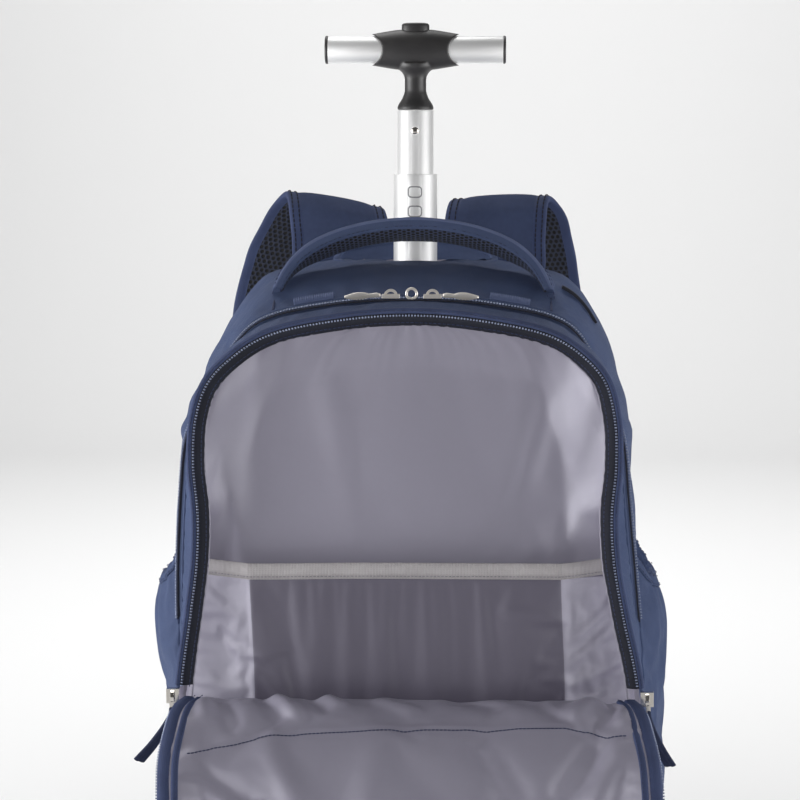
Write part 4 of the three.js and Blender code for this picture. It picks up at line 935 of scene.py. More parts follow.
# The part count on an outline's right half where it comes down to a height.
def countAt(y, z):
    loop = loopAt(y, leaning=False)
    heights = loop[: len(loop) // 2, 2]
    i = int(np.argmax((heights[:-1] >= z) & (heights[1:] <= z) & (np.arange(len(heights) - 1) > 4)))
    return i + (heights[i] - z) / max(heights[i] - heights[i + 1], 1e-9)


def halfWidthAt(y, z, out=0.0):
    loop = loopAt(y, out, leaning=False)
    half = loop[: len(loop) // 2]
    order = np.argsort(half[:, 2])
    return np.interp(z, half[order, 2], half[order, 0])


def topAt(y, x):
    loop = loopAt(y, leaning=False)
    half = loop[: len(loop) // 4]
    return np.interp(abs(x), half[:, 0], half[:, 2])


print("bag outlines made")


# Outer cloth of the two compartments

mainCloth = {
    "rows": 26,
    "columns": 312,
    "puff": 0.0025,  # how far the filled cloth stands out between its seams
    "slotHalf": (0.056, 0.0186),
    "poleY": backY - 0.021,
    "slotDepth": 0.012,
    "lips": (0.0012, 0.0125),  # how far the front lip sinks, and the back one stands up
    "wellInner": 0.115,
    "wellFront": backY - 0.007 - 0.037,
    "wellTop": 0.067,
    # dents and folds: start (share of half outline, share of depth), end, width, height
    "folds": [
        ((0.245, 0.1), (0.27, 0.9), 0.012, -0.0022), ((0.29, 0.15), (0.31, 0.6), 0.009, 0.0016),
        ((0.36, 0.2), (0.35, 0.8), 0.014, -0.002), ((0.42, 0.1), (0.44, 0.5), 0.010, 0.0016),
    ],
    "spare": 0.022,
    "pressure": 0.25,
    "cap": 0.0035,
}
frontCloth = {"rows": 10, "columns": 416, "puff": 0.0012, "spare": 0.02, "pressure": 0.2, "cap": 0.0022}


# A band of the bag from one depth to another, all the way round.
def bandGrid(ys, columns, puff):
    share = (np.array(ys) - ys[0]) / (ys[-1] - ys[0])
    grid = np.array([loopAt(y, puff * math.sin(math.pi * t) ** 0.6) for y, t in zip(ys, share)])
    step = np.arange(columns) * bagForm["points"] / columns
    return np.array([between(row, step[0], step[-1], columns) for row in grid])


def startMainCloth(p):
    ys = joinY + 0.00015 + smoothSpread(p["rows"]) * (bagForm["mainDepth"] - 0.0005)
    grid = bandGrid(ys, p["columns"], p["puff"])
    # dents by share of the outline, mirrored with a little change on the other side
    share = np.arange(p["columns"]) / p["columns"]
    near = np.minimum(share, 1 - share) * 2
    depth = (ys - ys[0]) / (ys[-1] - ys[0])
    x, y = np.meshgrid(near * 0.8, depth * bagForm["mainDepth"])
    folds = [((a[0] * 0.8, a[1] * 0.117), (b[0] * 0.8, b[1] * 0.117), w, h) for a, b, w, h in p["folds"]]
    seams = np.sin(np.pi * depth)[:, None] ** 0.5
    puckers = gathers(np.arange(p["columns"]) * 0.0039, 0.017, 3) * 0.0007
    edgeNear = np.exp(-depth * bagForm["mainDepth"] / 0.016)[:,
                                                None] + np.exp(-(1 - depth) * bagForm["mainDepth"] / 0.014)[:, None]
    height = foldHeights(x, y, folds) * seams + puckers[None] * edgeNear * seams
    grid += gridNormalsOut(grid) * height[..., None]
    pinned = np.zeros(grid.shape[:2])
    pinned[0] = pinned[-1] = 1
    pinned[ys < joinY + 0.0125] = 1  # under the zip
    inSlot, inWell = slotShare(p, grid) < 1.25, wellMask(p, grid, 0.004)
    pinned[inSlot | inWell] = 1
    pinned[grid[..., 2] < bagForm["bottom"] + 0.002] = 1
    return waitForCloth("mainCloth", grid, pinned, p["spare"], p["cap"], p["pressure"], closed=True)


def smoothSpread(count):
    t = np.linspace(0, 1, count)
    return 0.5 * t + 0.5 * smooth(t)


def gridNormalsOut(grid):
    normal = gridNormals(grid, closed=True)
    centre = np.array([0, 0, 0.25])
    facing = np.sum(normal * (grid - centre), axis=2).mean()
    return normal if facing > 0 else -normal


def slotShare(p, grid):
    x, y = grid[..., 0] / p["slotHalf"][0], (grid[..., 1] - p["poleY"]) / p["slotHalf"][1]
    return np.where(grid[..., 2] > 0.4, np.hypot(x, y), 9)


def wellMask(p, grid, margin=0.0):
    return ((np.abs(grid[..., 0]) > p["wellInner"] - margin) & (grid[..., 1] > p["wellFront"] - margin)
            & (grid[..., 2] < p["wellTop"] + margin))


def facesOf(keepPoints, closed=False):
    across = np.concatenate([keepPoints, keepPoints[:, :1]], axis=1) if closed else keepPoints
    return across[:-1, :-1] | across[1:, :-1] | across[:-1, 1:] | across[1:, 1:]


def finishMainCloth(p, grid):
    share = slotShare(p, grid)
    outside = share >= 1
    keep = outside & ~wellMask(p, grid)
    # what lies just inside the slot is drawn to its edge
    inside = ~outside
    x, y = grid[..., 0], grid[..., 1] - p["poleY"]
    grid[..., 0] = np.where(inside, x / np.maximum(share, 0.05), x)
    grid[..., 1] = np.where(inside, y / np.maximum(share, 0.05) + p["poleY"], grid[..., 1])
    mesh = gridMesh("mainShellCloth", grid, closed=True, keepFaces=facesOf(keep, closed=True))
    made = newObject("mainShellCloth", mesh, ["navyFabric"])
    thicken(made, bagForm["cloth"], "greyLining", outside=-1 if facesOut(made) else 1)
    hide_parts("main_shell")
    # the welt round the slot, and the cloth sleeve that goes down round the pole
    angles = np.linspace(0, 2 * math.pi, 97)[:-1]
    wave = 0.0011 * gathers(np.arange(96) * 0.0016, 0.021, 11)
    rim = np.stack([(p["slotHalf"][0] + 0.0018) * np.cos(angles),
                    p["poleY"] + (p["slotHalf"][1] + 0.0012) * np.sin(angles) + wave * 0.6, np.zeros(96)], 1)
    rim[:, 2] = [topAt(min(y, backY), x) + 0.0008 for x, y, _ in rim]
    front, back = p["lips"]
    rim[:, 2] += wave + back * np.clip(np.sin(angles), 0, 1) ** 0.7 - front * np.clip(-np.sin(angles), 0, 1)
    rim[:, 0] += lean(rim[:, 1], rim[:, 2])
    outward = unit(np.stack([np.cos(angles) * 0.45, np.sin(angles), np.zeros(96)], 1))
    welt = sweep(rim, outward, roundSection(0.0026, 0.0015, 12, 2.6), closed=True, name="slotWelt")
    welt = newObject("slotWelt", welt, ["navyFabric"])
    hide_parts("slot_welt")
    down = []
    for k, t in enumerate(np.linspace(0, 1, 9)):
        shrink = 1 - 0.16 * t
        row = rim.copy()
        row[:, 0] *= 0.985 * (1 - 0.06 * t)
        row[:, 1] = p["poleY"] + (row[:, 1] - p["poleY"]) * shrink
        row[:, 2] -= p["slotDepth"] * t + 0.0008
        row[:, 1] += 0.0012 * t * gathers(np.arange(96) * 0.0016, 0.03, 23 + k // 3)
        down.append(row)
    sleeve = newObject("slotSleeve", gridMesh("slotSleeve", np.array(down), closed=True), ["navyFabric"])
    thicken(sleeve, 0.0009)


def facesOut(obj):
    total = 0.0
    for polygon in list(obj.data.polygons)[::23]:
        away = polygon.center - Vector((0, 0.03, 0.25))
        total += polygon.normal.dot(away)
    return total > 0


def startFrontCloth(p):
    ys = np.linspace(rimY, joinY - 0.0003, p["rows"])
    grid = bandGrid(ys, p["columns"], p["puff"])
    depth = (ys - ys[0]) / (ys[-1] - ys[0])
    puckers = gathers(np.arange(p["columns"]) * 0.0031, 0.012, 5) * 0.0006
    near = np.exp(-depth * 0.041 / 0.01)[:, None] + np.exp(-(1 - depth) * 0.041 / 0.012)[:, None]
    grid += gridNormalsOut(grid) * (puckers[None] * near * np.sin(np.pi * depth)[:, None])[..., None]
    pinned = np.zeros(grid.shape[:2])
    pinned[0] = pinned[-1] = 1
    pinned[grid[..., 2] < bagForm["bottom"] + 0.002] = 1
    return waitForCloth("frontCloth", grid, pinned, p["spare"], p["cap"], p["pressure"], closed=True)


def finishFrontCloth(p, grid):
    made = newObject("frontShellCloth", gridMesh("frontShellCloth", grid, closed=True), ["navyFabric"])
    thicken(made, bagForm["cloth"], "greyLining", outside=-1 if facesOut(made) else 1)
    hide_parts("front_shell")


# The hidden front below the fold

bucket = {
    "bulge": 0.036,
    "drop": 0.006,  # how far the top edge is drawn down under the fold
    "rows": [(0.004, 0), (0.04, 0.5), (0.13, 0.85), (0.3, 1), (0.52, 0.98), (0.72, 0.84), (0.88, 0.52), (1, 0.12)],
    "columns": [(-1, 0), (-0.94, 0.46), (-0.8, 0.8), (-0.5, 0.97), (0, 1), (0.5, 0.97), (0.8, 0.8), (0.94, 0.46),
                (1, 0)],
    "folds": [((-0.09, 0.15), (0.02, 0.09), 0.014, 0.003), ((0.10, 0.13), (0.05, 0.06), 0.012, -0.003),
              ((-0.12, 0.07), (-0.07, 0.04), 0.01, 0.002)],
    "spare": 0.02,
    "cap": 0.003,
}


def startBucket(p):
    zs = np.linspace(0.004, 1, 34)
    us = np.sin(np.linspace(-math.pi / 2, math.pi / 2, 60))
    out = tableAt(p["rows"], zs)[:, None] * tableAt(p["columns"], us)[None]
    z = bagForm["bottom"] + zs * (foldHeight - p["drop"] - bagForm["bottom"])
    half = halfWidthAt(rimY, z)
    grid = np.stack([half[:, None] * us[None], rimY - 0.0003 - p["bulge"] * out,
                     np.broadcast_to(z[:, None], out.shape)], 2)
    grid[..., 0] += lean(rimY, grid[..., 2])
    held = np.minimum(out * 2.5, 1)
    grid[..., 1] -= foldHeights(grid[..., 0], grid[..., 2], p["folds"]) * held
    pinned = np.zeros(out.shape)
    pinned[0] = pinned[-1] = pinned[:, 0] = pinned[:, -1] = 1
    return waitForCloth("bucket", grid, pinned, p["spare"], p["cap"])


def finishBucket(p, grid):
    made = newObject("lowerFrontCloth", gridMesh("lowerFrontCloth", grid), ["navyFabric"])
    thicken(made, bagForm["cloth"], "greyLining", outside=awayFrom(made, (0, -1, 0)))
    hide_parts("lower_front")


# Lining of the open compartment: a flat back and a gusset that runs out to the zip tape

lining = {
    "rows": 70,
    "columns": 60,
    "billow": 0.0035,
    "curl": (0.027, 0.036),  # how far forward its sides come, and over what width
    "spare": 0.028,
    "cap": 0.004,
    "puckerPitch": 0.0075,
    "puckerHeight": 0.0009,
    # (x, z) from, to, width, height
    "folds": [
        ((-0.118, 0.40), (-0.122, 0.31), 0.010, 0.003), ((-0.135, 0.36), (-0.128, 0.28), 0.007, -0.002),
        ((0.122, 0.40), (0.125, 0.30), 0.010, 0.003), ((0.135, 0.35), (0.118, 0.29), 0.008, -0.0025),
        ((-0.06, 0.42), (-0.04, 0.33), 0.012, 0.0018), ((0.02, 0.43), (0.05, 0.34), 0.014, -0.0018),
        ((0.08, 0.41), (0.07, 0.33), 0.010, 0.0016),
    ],
    "gusset": [(-0.0105, -0.0363), (-0.0062, -0.030), (-0.0048, -0.020), (-0.0048, -0.011), (-0.0062, -0.0062)],
}


# A flat sheet from one side of an outline to the other, in rows from the top down, without the
# first and last few points of each side.
def sheetAcross(edge, skipped, rows, columns):
    last = bagForm["points"] // 2 - skipped
    right, left = between(edge, skipped, last, rows), between(edge, -skipped, -last, rows)
    share = np.linspace(-1, 1, columns)
    grid = np.array([(a + b) / 2 + (b - a) / 2 * share[:, None] for a, b in zip(left, right)])
    return grid, share, np.linalg.norm((right - left) / 2, axis=1)[:, None]

def startLining(p):
    edge = loopAt(joinY - 0.0055, -0.0058)
    grid, share, _ = sheetAcross(edge, 3, p["rows"], p["columns"])
    u = share[None] * np.ones((p["rows"], 1))
    z = (grid[..., 2] - bagForm["bottom"]) / (bagForm["rimTop"] - bagForm["bottom"])
    away = (1 - u**8) * smooth((1 - z) / 0.12) * smooth(z / 0.1)
    depth = 0.0016 * away - p["billow"] * away * (0.5 + 0.5 * np.sin(5 * u + 2 * z))
    upper = smooth((z - 0.5) / 0.2)
    grid[..., 1] += np.minimum(depth - foldHeights(grid[..., 0], grid[..., 2], p["folds"]) * away * upper, 0.0018)
    outline = edge[:, None, None, [0, 2]]
    fromEdge = np.min(np.linalg.norm(outline - grid[None][..., [0, 2]], axis=-1), axis=0)
    forward, width = p["curl"]
    aloft = smooth((grid[..., 2] - 0.289) / 0.045) * (1 - 0.45 * smooth((grid[..., 2] - 0.40) / 0.05))
    pleats = 0.5 + 0.5 * gathers(share * 0.15, 0.011, 14)
    grid[..., 1] -= 0.0024 * pleats[None] * smooth((z - 0.84) / 0.1) * smooth((fromEdge - 0.004) / 0.006) * np.exp(-fromEdge / 0.03)
    drawn = forward * np.clip(1 - fromEdge / width, 0, 1) ** 1.6 * aloft
    narrow = 1 - halfWidthAt(rimY, grid[..., 2]) / halfWidthAt(joinY, grid[..., 2])
    grid[..., 1] -= drawn
    grid[..., 0] *= 1 - np.maximum(narrow, 0) * drawn / bagForm["frontDepth"]
    pinned = np.zeros(grid.shape[:2])
    pinned[0] = pinned[-1] = pinned[:, 0] = pinned[:, -1] = 1
    return waitForCloth("lining", grid, pinned, p["spare"], p["cap"], gravity=0.3)


def finishLining(p, grid):
    grid[..., 1] = np.minimum(grid[..., 1], joinY - 0.0022)
    back = newObject("backLining", gridMesh("backLining", grid), ["greyLining"])
    thicken(back, 0.0012, outside=awayFrom(back, (0, -1, 0)), rounds=1)
    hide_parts("divider_panel")
    # the gusset, drawn into small puckers where it is sewn to the tape
    columns = 624
    step = np.arange(columns) * bagForm["points"] / columns
    run = curveThrough(p["gusset"], 14)
    waves = gathers(np.arange(columns) * 0.00208, p["puckerPitch"], 9)
    slow = gathers(np.arange(columns) * 0.00208, 0.05, 10)
    rows = []
    for out, y in run:
        near = math.exp(-(out + 0.0105) ** 2 / 0.00003) * 0.3 + math.sin(math.pi * min(1,
                                                    (y + 0.0363) / 0.0301)) ** 0.8
        loop = loopAt(joinY + y, out)
        inward = -outwardAt(joinY + y)
        full = between(loop, step[0], step[-1], columns)
        turn = between(inward, step[0], step[-1], columns)
        rows.append(full + turn * (near * (p["puckerHeight"] * waves + 0.0007 * slow + 0.0006))[:, None])
    side = newObject("gussetLining", gridMesh("gussetLining", np.array(rows), closed=True), ["greyLining"])
    thicken(side, 0.0009, outside=1 if facesOut(side) else -1)


# The grey sleeve on the lining, with a flat front between two creases

sleeve = {
    "top": 0.289,
    "binding": 0.0112,
    "stand": 0.024,
    "crease": 0.108,
    "wing": 20,  # columns of each side, and of the front between the creases
    "middle": 65,
    "rows": [(0.02, 0.06), (0.05, 0.5), (0.12, 0.8), (0.35, 0.92), (0.7, 1), (1, 1)],
    "spare": 0.012,
    "cap": 0.0022,
    # (x, z) from, to, width, height
    "folds": [
        ((-0.1075, 0.222), (-0.128, 0.2285), 0.0024, 0.0016), ((-0.1075, 0.222), (-0.086, 0.2265), 0.0022, 0.0014),
        ((-0.132, 0.236), (-0.109, 0.2235), 0.0034, -0.0012), ((-0.1075, 0.2205), (-0.13, 0.213), 0.0044, -0.0010),
        ((-0.119, 0.2565), (-0.10, 0.2555), 0.0018, 0.0009), ((-0.148, 0.262), (-0.115, 0.250), 0.006, 0.0010),
        ((-0.150, 0.205), (-0.115, 0.196), 0.007, 0.0012), ((0.064, 0.2550), (0.102, 0.2495), 0.0026, 0.0015),
        ((0.082, 0.2435), (0.108, 0.2410), 0.0024, -0.0014), ((0.093, 0.2290), (0.109, 0.2285), 0.0016, -0.0010),
        ((0.091, 0.2225), (0.109, 0.2215), 0.0016, -0.0010), ((0.089, 0.2140), (0.109, 0.2120), 0.0018, -0.0012),
        ((0.090, 0.2070), (0.108, 0.2050), 0.0018, 0.0010), ((0.113, 0.2190), (0.141, 0.2400), 0.0036, 0.0022),
        ((0.113, 0.2030), (0.146, 0.2150), 0.0036, 0.0022), ((0.113, 0.2350), (0.140, 0.2560), 0.0036, 0.0018),
        ((0.118, 0.1950), (0.148, 0.2010), 0.0040, -0.0016), ((0.112, 0.2680), (0.135, 0.2720), 0.0030, 0.0010),
        ((-0.04, 0.25), (0.03, 0.236), 0.016, 0.0008), ((-0.08, 0.21), (0.0, 0.222), 0.02, -0.0010),
    ],
}


def sleevePlan(p, z, out):
    back = joinY - 0.0037
    half = float(halfWidthAt(back, z, -0.0035))
    knee = min(p["crease"], half - 0.02)
    side = [(half, 0.02), (half - 0.010, 0.25), (knee + 0.006, 0.85), (knee, 1), (knee - 0.012, 0.992),
            (knee / 2, 1), (0, 1)]
    wing = half - (half - knee) * np.linspace(0, 1, p["wing"] + 1)[:-1] ** 0.9
    x = np.concatenate([-wing, np.linspace(-knee, knee, p["middle"]), wing[::-1]])
    d = np.interp(np.abs(x), [x for x, _ in side][::-1], [d for _, d in side][::-1])
    made = np.stack([x, back - p["stand"] * out * d, np.full(len(x), z)], 1)
    made[:, 0] += lean(back, z)
    return made


def startSleeve(p):
    low, high = bagForm["bottom"] + 0.005, p["top"] - p["binding"]
    zs = np.linspace(low, high, 64)
    shares = (zs - bagForm["bottom"]) / (high - bagForm["bottom"])
    grid = np.array([sleevePlan(p, z, tableAt(p["rows"], s)) for z, s in zip(zs, shares)])
    grid[..., 1] -= foldHeights(grid[..., 0], grid[..., 2], p["folds"])
    fromSide = np.minimum(grid[..., 0] - grid[:, :1, 0], grid[:, -1:, 0] - grid[..., 0])
    wave = gathers(zs, 0.0085, 17)[:, None]
    grid[..., 1] -= 0.0013 * wave * np.exp(-fromSide / 0.016) * smooth(fromSide / 0.004)
    pinned = np.zeros(grid.shape[:2])
    pinned[0] = pinned[:, 0] = pinned[:, -1] = 1
    pinned[-1] = 0.9
    crease = np.exp(-((np.abs(grid[..., 0]) - p["crease"]) / 0.003) ** 2)
    pinned = np.maximum(pinned, 0.75 * crease)
    return waitForCloth("sleeve", grid, pinned, p["spare"], p["cap"], gravity=0.2)


def finishSleeve(p, grid):
    cloth = newObject("sleevePocketCloth", gridMesh("sleevePocketCloth", grid), ["greyLining", "shadedLining"])
    # the front columns between the creases take the darker lining, which is painted shade
    columns = np.arange(grid.shape[1] - 1)
    shadedFront = (columns >= p["wing"]) & (columns < p["wing"] + p["middle"] - 1)
    cloth.data.polygons.foreach_set("material_index", np.tile(shadedFront, len(grid) - 1).astype(int))
    thicken(cloth, 0.0011, outside=awayFrom(cloth, (0, -1, 0)), rounds=1)
    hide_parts("sleeve_pocket")
    # the ribbed binding is folded over the sleeve's top edge
    line = grid[-1].copy()
    line[:, 2] += 0.5 * p["binding"] - 0.0006
    x = line[:, 0]
    line[:, 2] += 0.0014 * smooth((x - 0.11) / 0.03) - 0.0012 * np.exp(-((x + 0.108) / 0.05) ** 2)
    section = [(-0.0056, -0.0005), (-0.0056, 0.0011), (-0.0050, 0.0015), (-0.0032, 0.0012), (0.0040, 0.0014),
               (0.0053, 0.0012), (0.0057, 0.0002), (0.0053, -0.0008), (0, -0.0009)]
    mesh = sweep(line, (0, 0, 1), section, name="sleeveBinding")
    band = newObject("sleeveBinding", mesh, ["greyTape"])
    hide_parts("sleeve_binding")
    along = slopes(line)
    front = np.cross(along, (0, 0, 1))
    front = front * np.sign(-front[:, 1:2])
    seam = line + front * 0.0013
    seam[:, 2] -= 0.0036
    stitches("sleeveStitches", seam, (0, 0, 1), front, "greyThread", pitch=0.0026, length=0.0019, size=0.0005)


# The flap that lies folded down, its lining and the band along its edge

flap = {
    "reach": 0.186,
    "length": 0.266,
    "drift": 0.010,
    "lip": 0.009,
    "cloth": 0.0026,
    "route": [(0, 1), (0.1, 0.985), (0.23, 0.895), (0.36, 0.735), (0.45, 0.52), (0.51, 0.3), (0.56, 0.13),
              (0.61, 0.03), (0.67, 0), (0.8, 0), (1, 0)],
    "edge": [(0, 0), (0.4, 0.4), (0.53, 0.525), (0.66, 0.645), (0.79, 0.755), (0.9, 0.845), (1, 0.92)],
    "half": [(0, 0.965), (0.07, 1), (0.15, 1.018), (0.27, 1.038), (0.4, 1.034), (0.53, 1.014), (0.66, 0.985),
             (0.79, 0.93), (0.9, 0.855), (1, 0.74)],
    "inset": 0.0085,  # of the lining from the flap's edge
    "seam": [(-0.155, 0.061), (-0.13, 0.053), (-0.09, 0.044), (-0.04, 0.040), (0.02, 0.038), (0.09, 0.036),
             (0.12, 0.038), (0.138, 0.0445), (0.158, 0.045)],
    # (x, distance from the fold) from, to, width, height
    "folds": [
        ((-0.092, 0.000), (-0.074, 0.026), 0.0042, 0.0034), ((-0.100, 0.004), (-0.088, 0.030), 0.0048, -0.0030),
        ((-0.058, -0.002), (-0.046, 0.014), 0.0036, 0.0028), ((-0.068, 0.002), (-0.056, 0.020), 0.0040, -0.0020),
        ((-0.128, 0.006), (-0.118, 0.036), 0.0060, -0.0028), ((-0.142, 0.004), (-0.138, 0.030), 0.0045, 0.0022),
        ((-0.020, 0.004), (0.004, 0.016), 0.0060, 0.0016), ((0.030, 0.002), (0.060, 0.014), 0.0070, -0.0016),
        ((0.137, 0.000), (0.141, 0.016), 0.0040, -0.0036), ((0.141, 0.016), (0.126, 0.036), 0.0042, -0.0036),
        ((0.126, 0.004), (0.112, 0.026), 0.0070, 0.0028), ((0.148, 0.006), (0.146, 0.034), 0.0050, 0.0026),
        ((0.085, 0.004), (0.100, 0.024), 0.0060, -0.0016), ((-0.150, 0.064), (-0.105, 0.092), 0.0070, -0.0036),
        ((-0.140, 0.074), (-0.090, 0.108), 0.0080, 0.0030), ((-0.095, 0.050), (-0.070, 0.100), 0.0100, 0.0020),
        ((0.125, 0.050), (0.100, 0.085), 0.0080, -0.0028), ((0.140, 0.052), (0.120, 0.100), 0.0080, 0.0026),
        ((0.050, 0.045), (0.070, 0.090), 0.0120, -0.0018), ((-0.02, 0.05), (-0.03, 0.12), 0.014, 0.0016),
        ((-0.06, 0.14), (0.05, 0.13), 0.016, 0.0022), ((0.06, 0.16), (0.12, 0.13), 0.012, -0.0024), ((-0.11, 0.15),
                                                    (-0.07, 0.20), 0.012, 0.002),
    ],
    "spare": 0.012,
    "cap": 0.0026,
}


def flapLine(p):
    rest = 0.0003 + p["cloth"]
    top = foldHeight - bucket["drop"] + 0.0003 + p["cloth"]
    points = [(rimY - 0.004 - out * p["reach"], rest + up * (top - rest)) for out, up in p["route"]]
    return curveThrough(points, 400)


flapRoute = flapLine(flap)
flapSlope = slopes(flapRoute)
flapRun = np.insert(np.cumsum(np.linalg.norm(np.diff(flapRoute, axis=0), axis=1)), 0, 0)


# From the flat flap to its place: across, distance from the fold, height above the cloth.
def onFlap(x, s, height=0.0):
    s = np.clip(s, 0, flapRun[-1])
    y, z = (np.interp(s, flapRun, flapRoute[:, k]) for k in (0, 1))
    ty, tz = (np.interp(s, flapRun, flapSlope[:, k]) for k in (0, 1))
    drift = flap["drift"] * smooth(s / flap["length"]) + lean(rimY, foldHeight)
    return np.stack([x + drift, y + tz * height, z - ty * height], -1)


# The flat flap as a grid: across, distance from the fold, from the side and from the end.
def flapFlat(p, rows=78, columns=88):
    t = np.linspace(0, 1, rows)
    u = np.sin(np.linspace(-1, 1, columns) * math.pi / 2 * 0.72) / math.sin(math.pi / 2 * 0.72)
    half = tableAt(p["half"], t) * bagForm["rimHalfWidth"]
    middle = t * p["length"]
    edge = tableAt(p["edge"], t) * p["length"]
    x = half[:, None] * u[None]
    s = middle[:, None] + (edge - middle)[:, None] * u[None] ** 2
    return x, s, half[:, None] - np.abs(x), (p["length"] - middle)[:, None] + 0 * x


# The shallow dish: its edge stands up, and so does its end.
def flapRise(p, x, s, fromSide, fromEnd):
    side = smooth(1 - (fromSide - 0.004) / 0.030)
    end = 0.3 * smooth(1 - fromEnd / 0.04)
    return p["lip"] * np.maximum(side, end) * smooth(s / (0.3 * p["length"]))


def startFlap(p):
    x, s, fromSide, fromEnd = flapFlat(p)
    inner = smooth((fromSide - 0.006) / 0.014) * smooth((fromEnd - 0.006) / 0.02)
    height = flapRise(p, x, s, fromSide, fromEnd) + 1.7 * foldHeights(x, s, p["folds"]) * np.maximum(inner, 0.1)
    # small puckers where the lining is sewn to the band
    wave = gathers(s, 0.0095, 31) * np.exp(-np.abs(fromSide - 0.016) / 0.007) * inner
    height = np.maximum(height + 0.0009 * wave, flapRise(p, x, s, fromSide, fromEnd) - 0.0022)
    grid = onFlap(x, s, height)
    pinned = np.zeros(x.shape)
    pinned[0] = pinned[-1] = pinned[:, :3] = pinned[:, -3:] = 1
    return waitForCloth("flap", grid, pinned, p["spare"], p["cap"])


# The flat area of a grid of (x, s) places, in square metres.
def planArea(x, s, keep=None):
    (ax, bx), (ay, by) = ((v[1:, 1:] - v[:-1, :-1], v[1:, :-1] - v[:-1, 1:]) for v in (x, s))
    cells = np.abs(ax * by - ay * bx) / 2
    return float((cells if keep is None else cells * keep).sum())


def finishFlap(p, grid):
    # nothing goes through the ground
    grid[..., 2] = np.maximum(grid[..., 2], 0.0035)
    normal = gridNormals(grid)
    normal = normal * np.sign(normal[..., 2].mean())
    x, s, fromSide, fromEnd = flapFlat(p)
    outer = newObject("frontFlapCloth", gridMesh("frontFlapCloth", grid), ["navyFabric"])
    thicken(outer, 0.0019, outside=awayFrom(outer, (0, 0, 1)))
    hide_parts("front_flap")
    float(np.ptp(x))
    float(np.ptp(s))
    planArea(x, s)
    # the lining lies on it, inside the band, and is joined across by a seam
    gone = s - tableAt(p["seam"], x)
    groove = -0.0008 * np.exp(-((gone / 0.0014) ** 2)) + 0.0012 * np.exp(-(((gone + 0.0028) / 0.0022) ** 2))
    shown = facesOf((fromSide > p["inset"]) & (fromEnd > p["inset"]))
    top = grid + normal * (0.0012 + groove + 0.0005 * smooth((fromSide - 0.01) / 0.01))[..., None]
    inner = newObject("flapLiningCloth", gridMesh("flapLiningCloth", top, keepFaces=shown), ["greyLining"])
    thicken(inner, 0.0009, outside=awayFrom(inner, (0, 0, 1)), rounds=1)
    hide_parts("flap_lining")
    inside = (fromSide > p["inset"] - 0.004) & (fromEnd > p["inset"] - 0.004)  # its cells' outer points
    float(np.ptp(x[inside]))
    float(np.ptp(s[inside]))
    planArea(x, s, shown)
    reach = np.linspace(-0.148, 0.148, 260)
    line, ups = onSheet(grid, normal, x, s, reach, tableAt(p["seam"], reach), 0.0024)
    stitches("flapSeamStitches", line, np.cross(slopes(line), ups), ups, "navyThread", 0.0027, 0.0025, 0.0009)
    makeFlapBand(grid, normal)


# Places on a sheet from its flat (x, s), by the nearest point of its grid and that point's two slopes.
def onSheet(grid, normal, x, s, wantedX, wantedS, lift):
    places, ups = [], []
    down, across = np.gradient(grid, axis=0), np.gradient(grid, axis=1)
    for a, b in zip(wantedX, wantedS):
        r, c = np.unravel_index(np.argmin((x - a) ** 2 + (s - b) ** 2), x.shape)
        c0, c1 = max(c - 1, 0), min(c + 1, x.shape[1] - 1)
        r0, r1 = max(r - 1, 0), min(r + 1, x.shape[0] - 1)
        dc = (a - x[r, c]) / ((x[r, c1] - x[r, c0]) / (c1 - c0))
        dr = (b - s[r, c]) / ((s[r1, c] - s[r0, c]) / (r1 - r0))
        places.append(grid[r, c] + across[r, c] * dc + down[r, c] * dr + normal[r, c] * lift)
        ups.append(normal[r, c])
    line = np.array(places)
    soft = line.copy()
    soft[1:-1] = (line[:-2] + 2 * line[1:-1] + line[2:]) / 4
    return soft, np.array(ups)


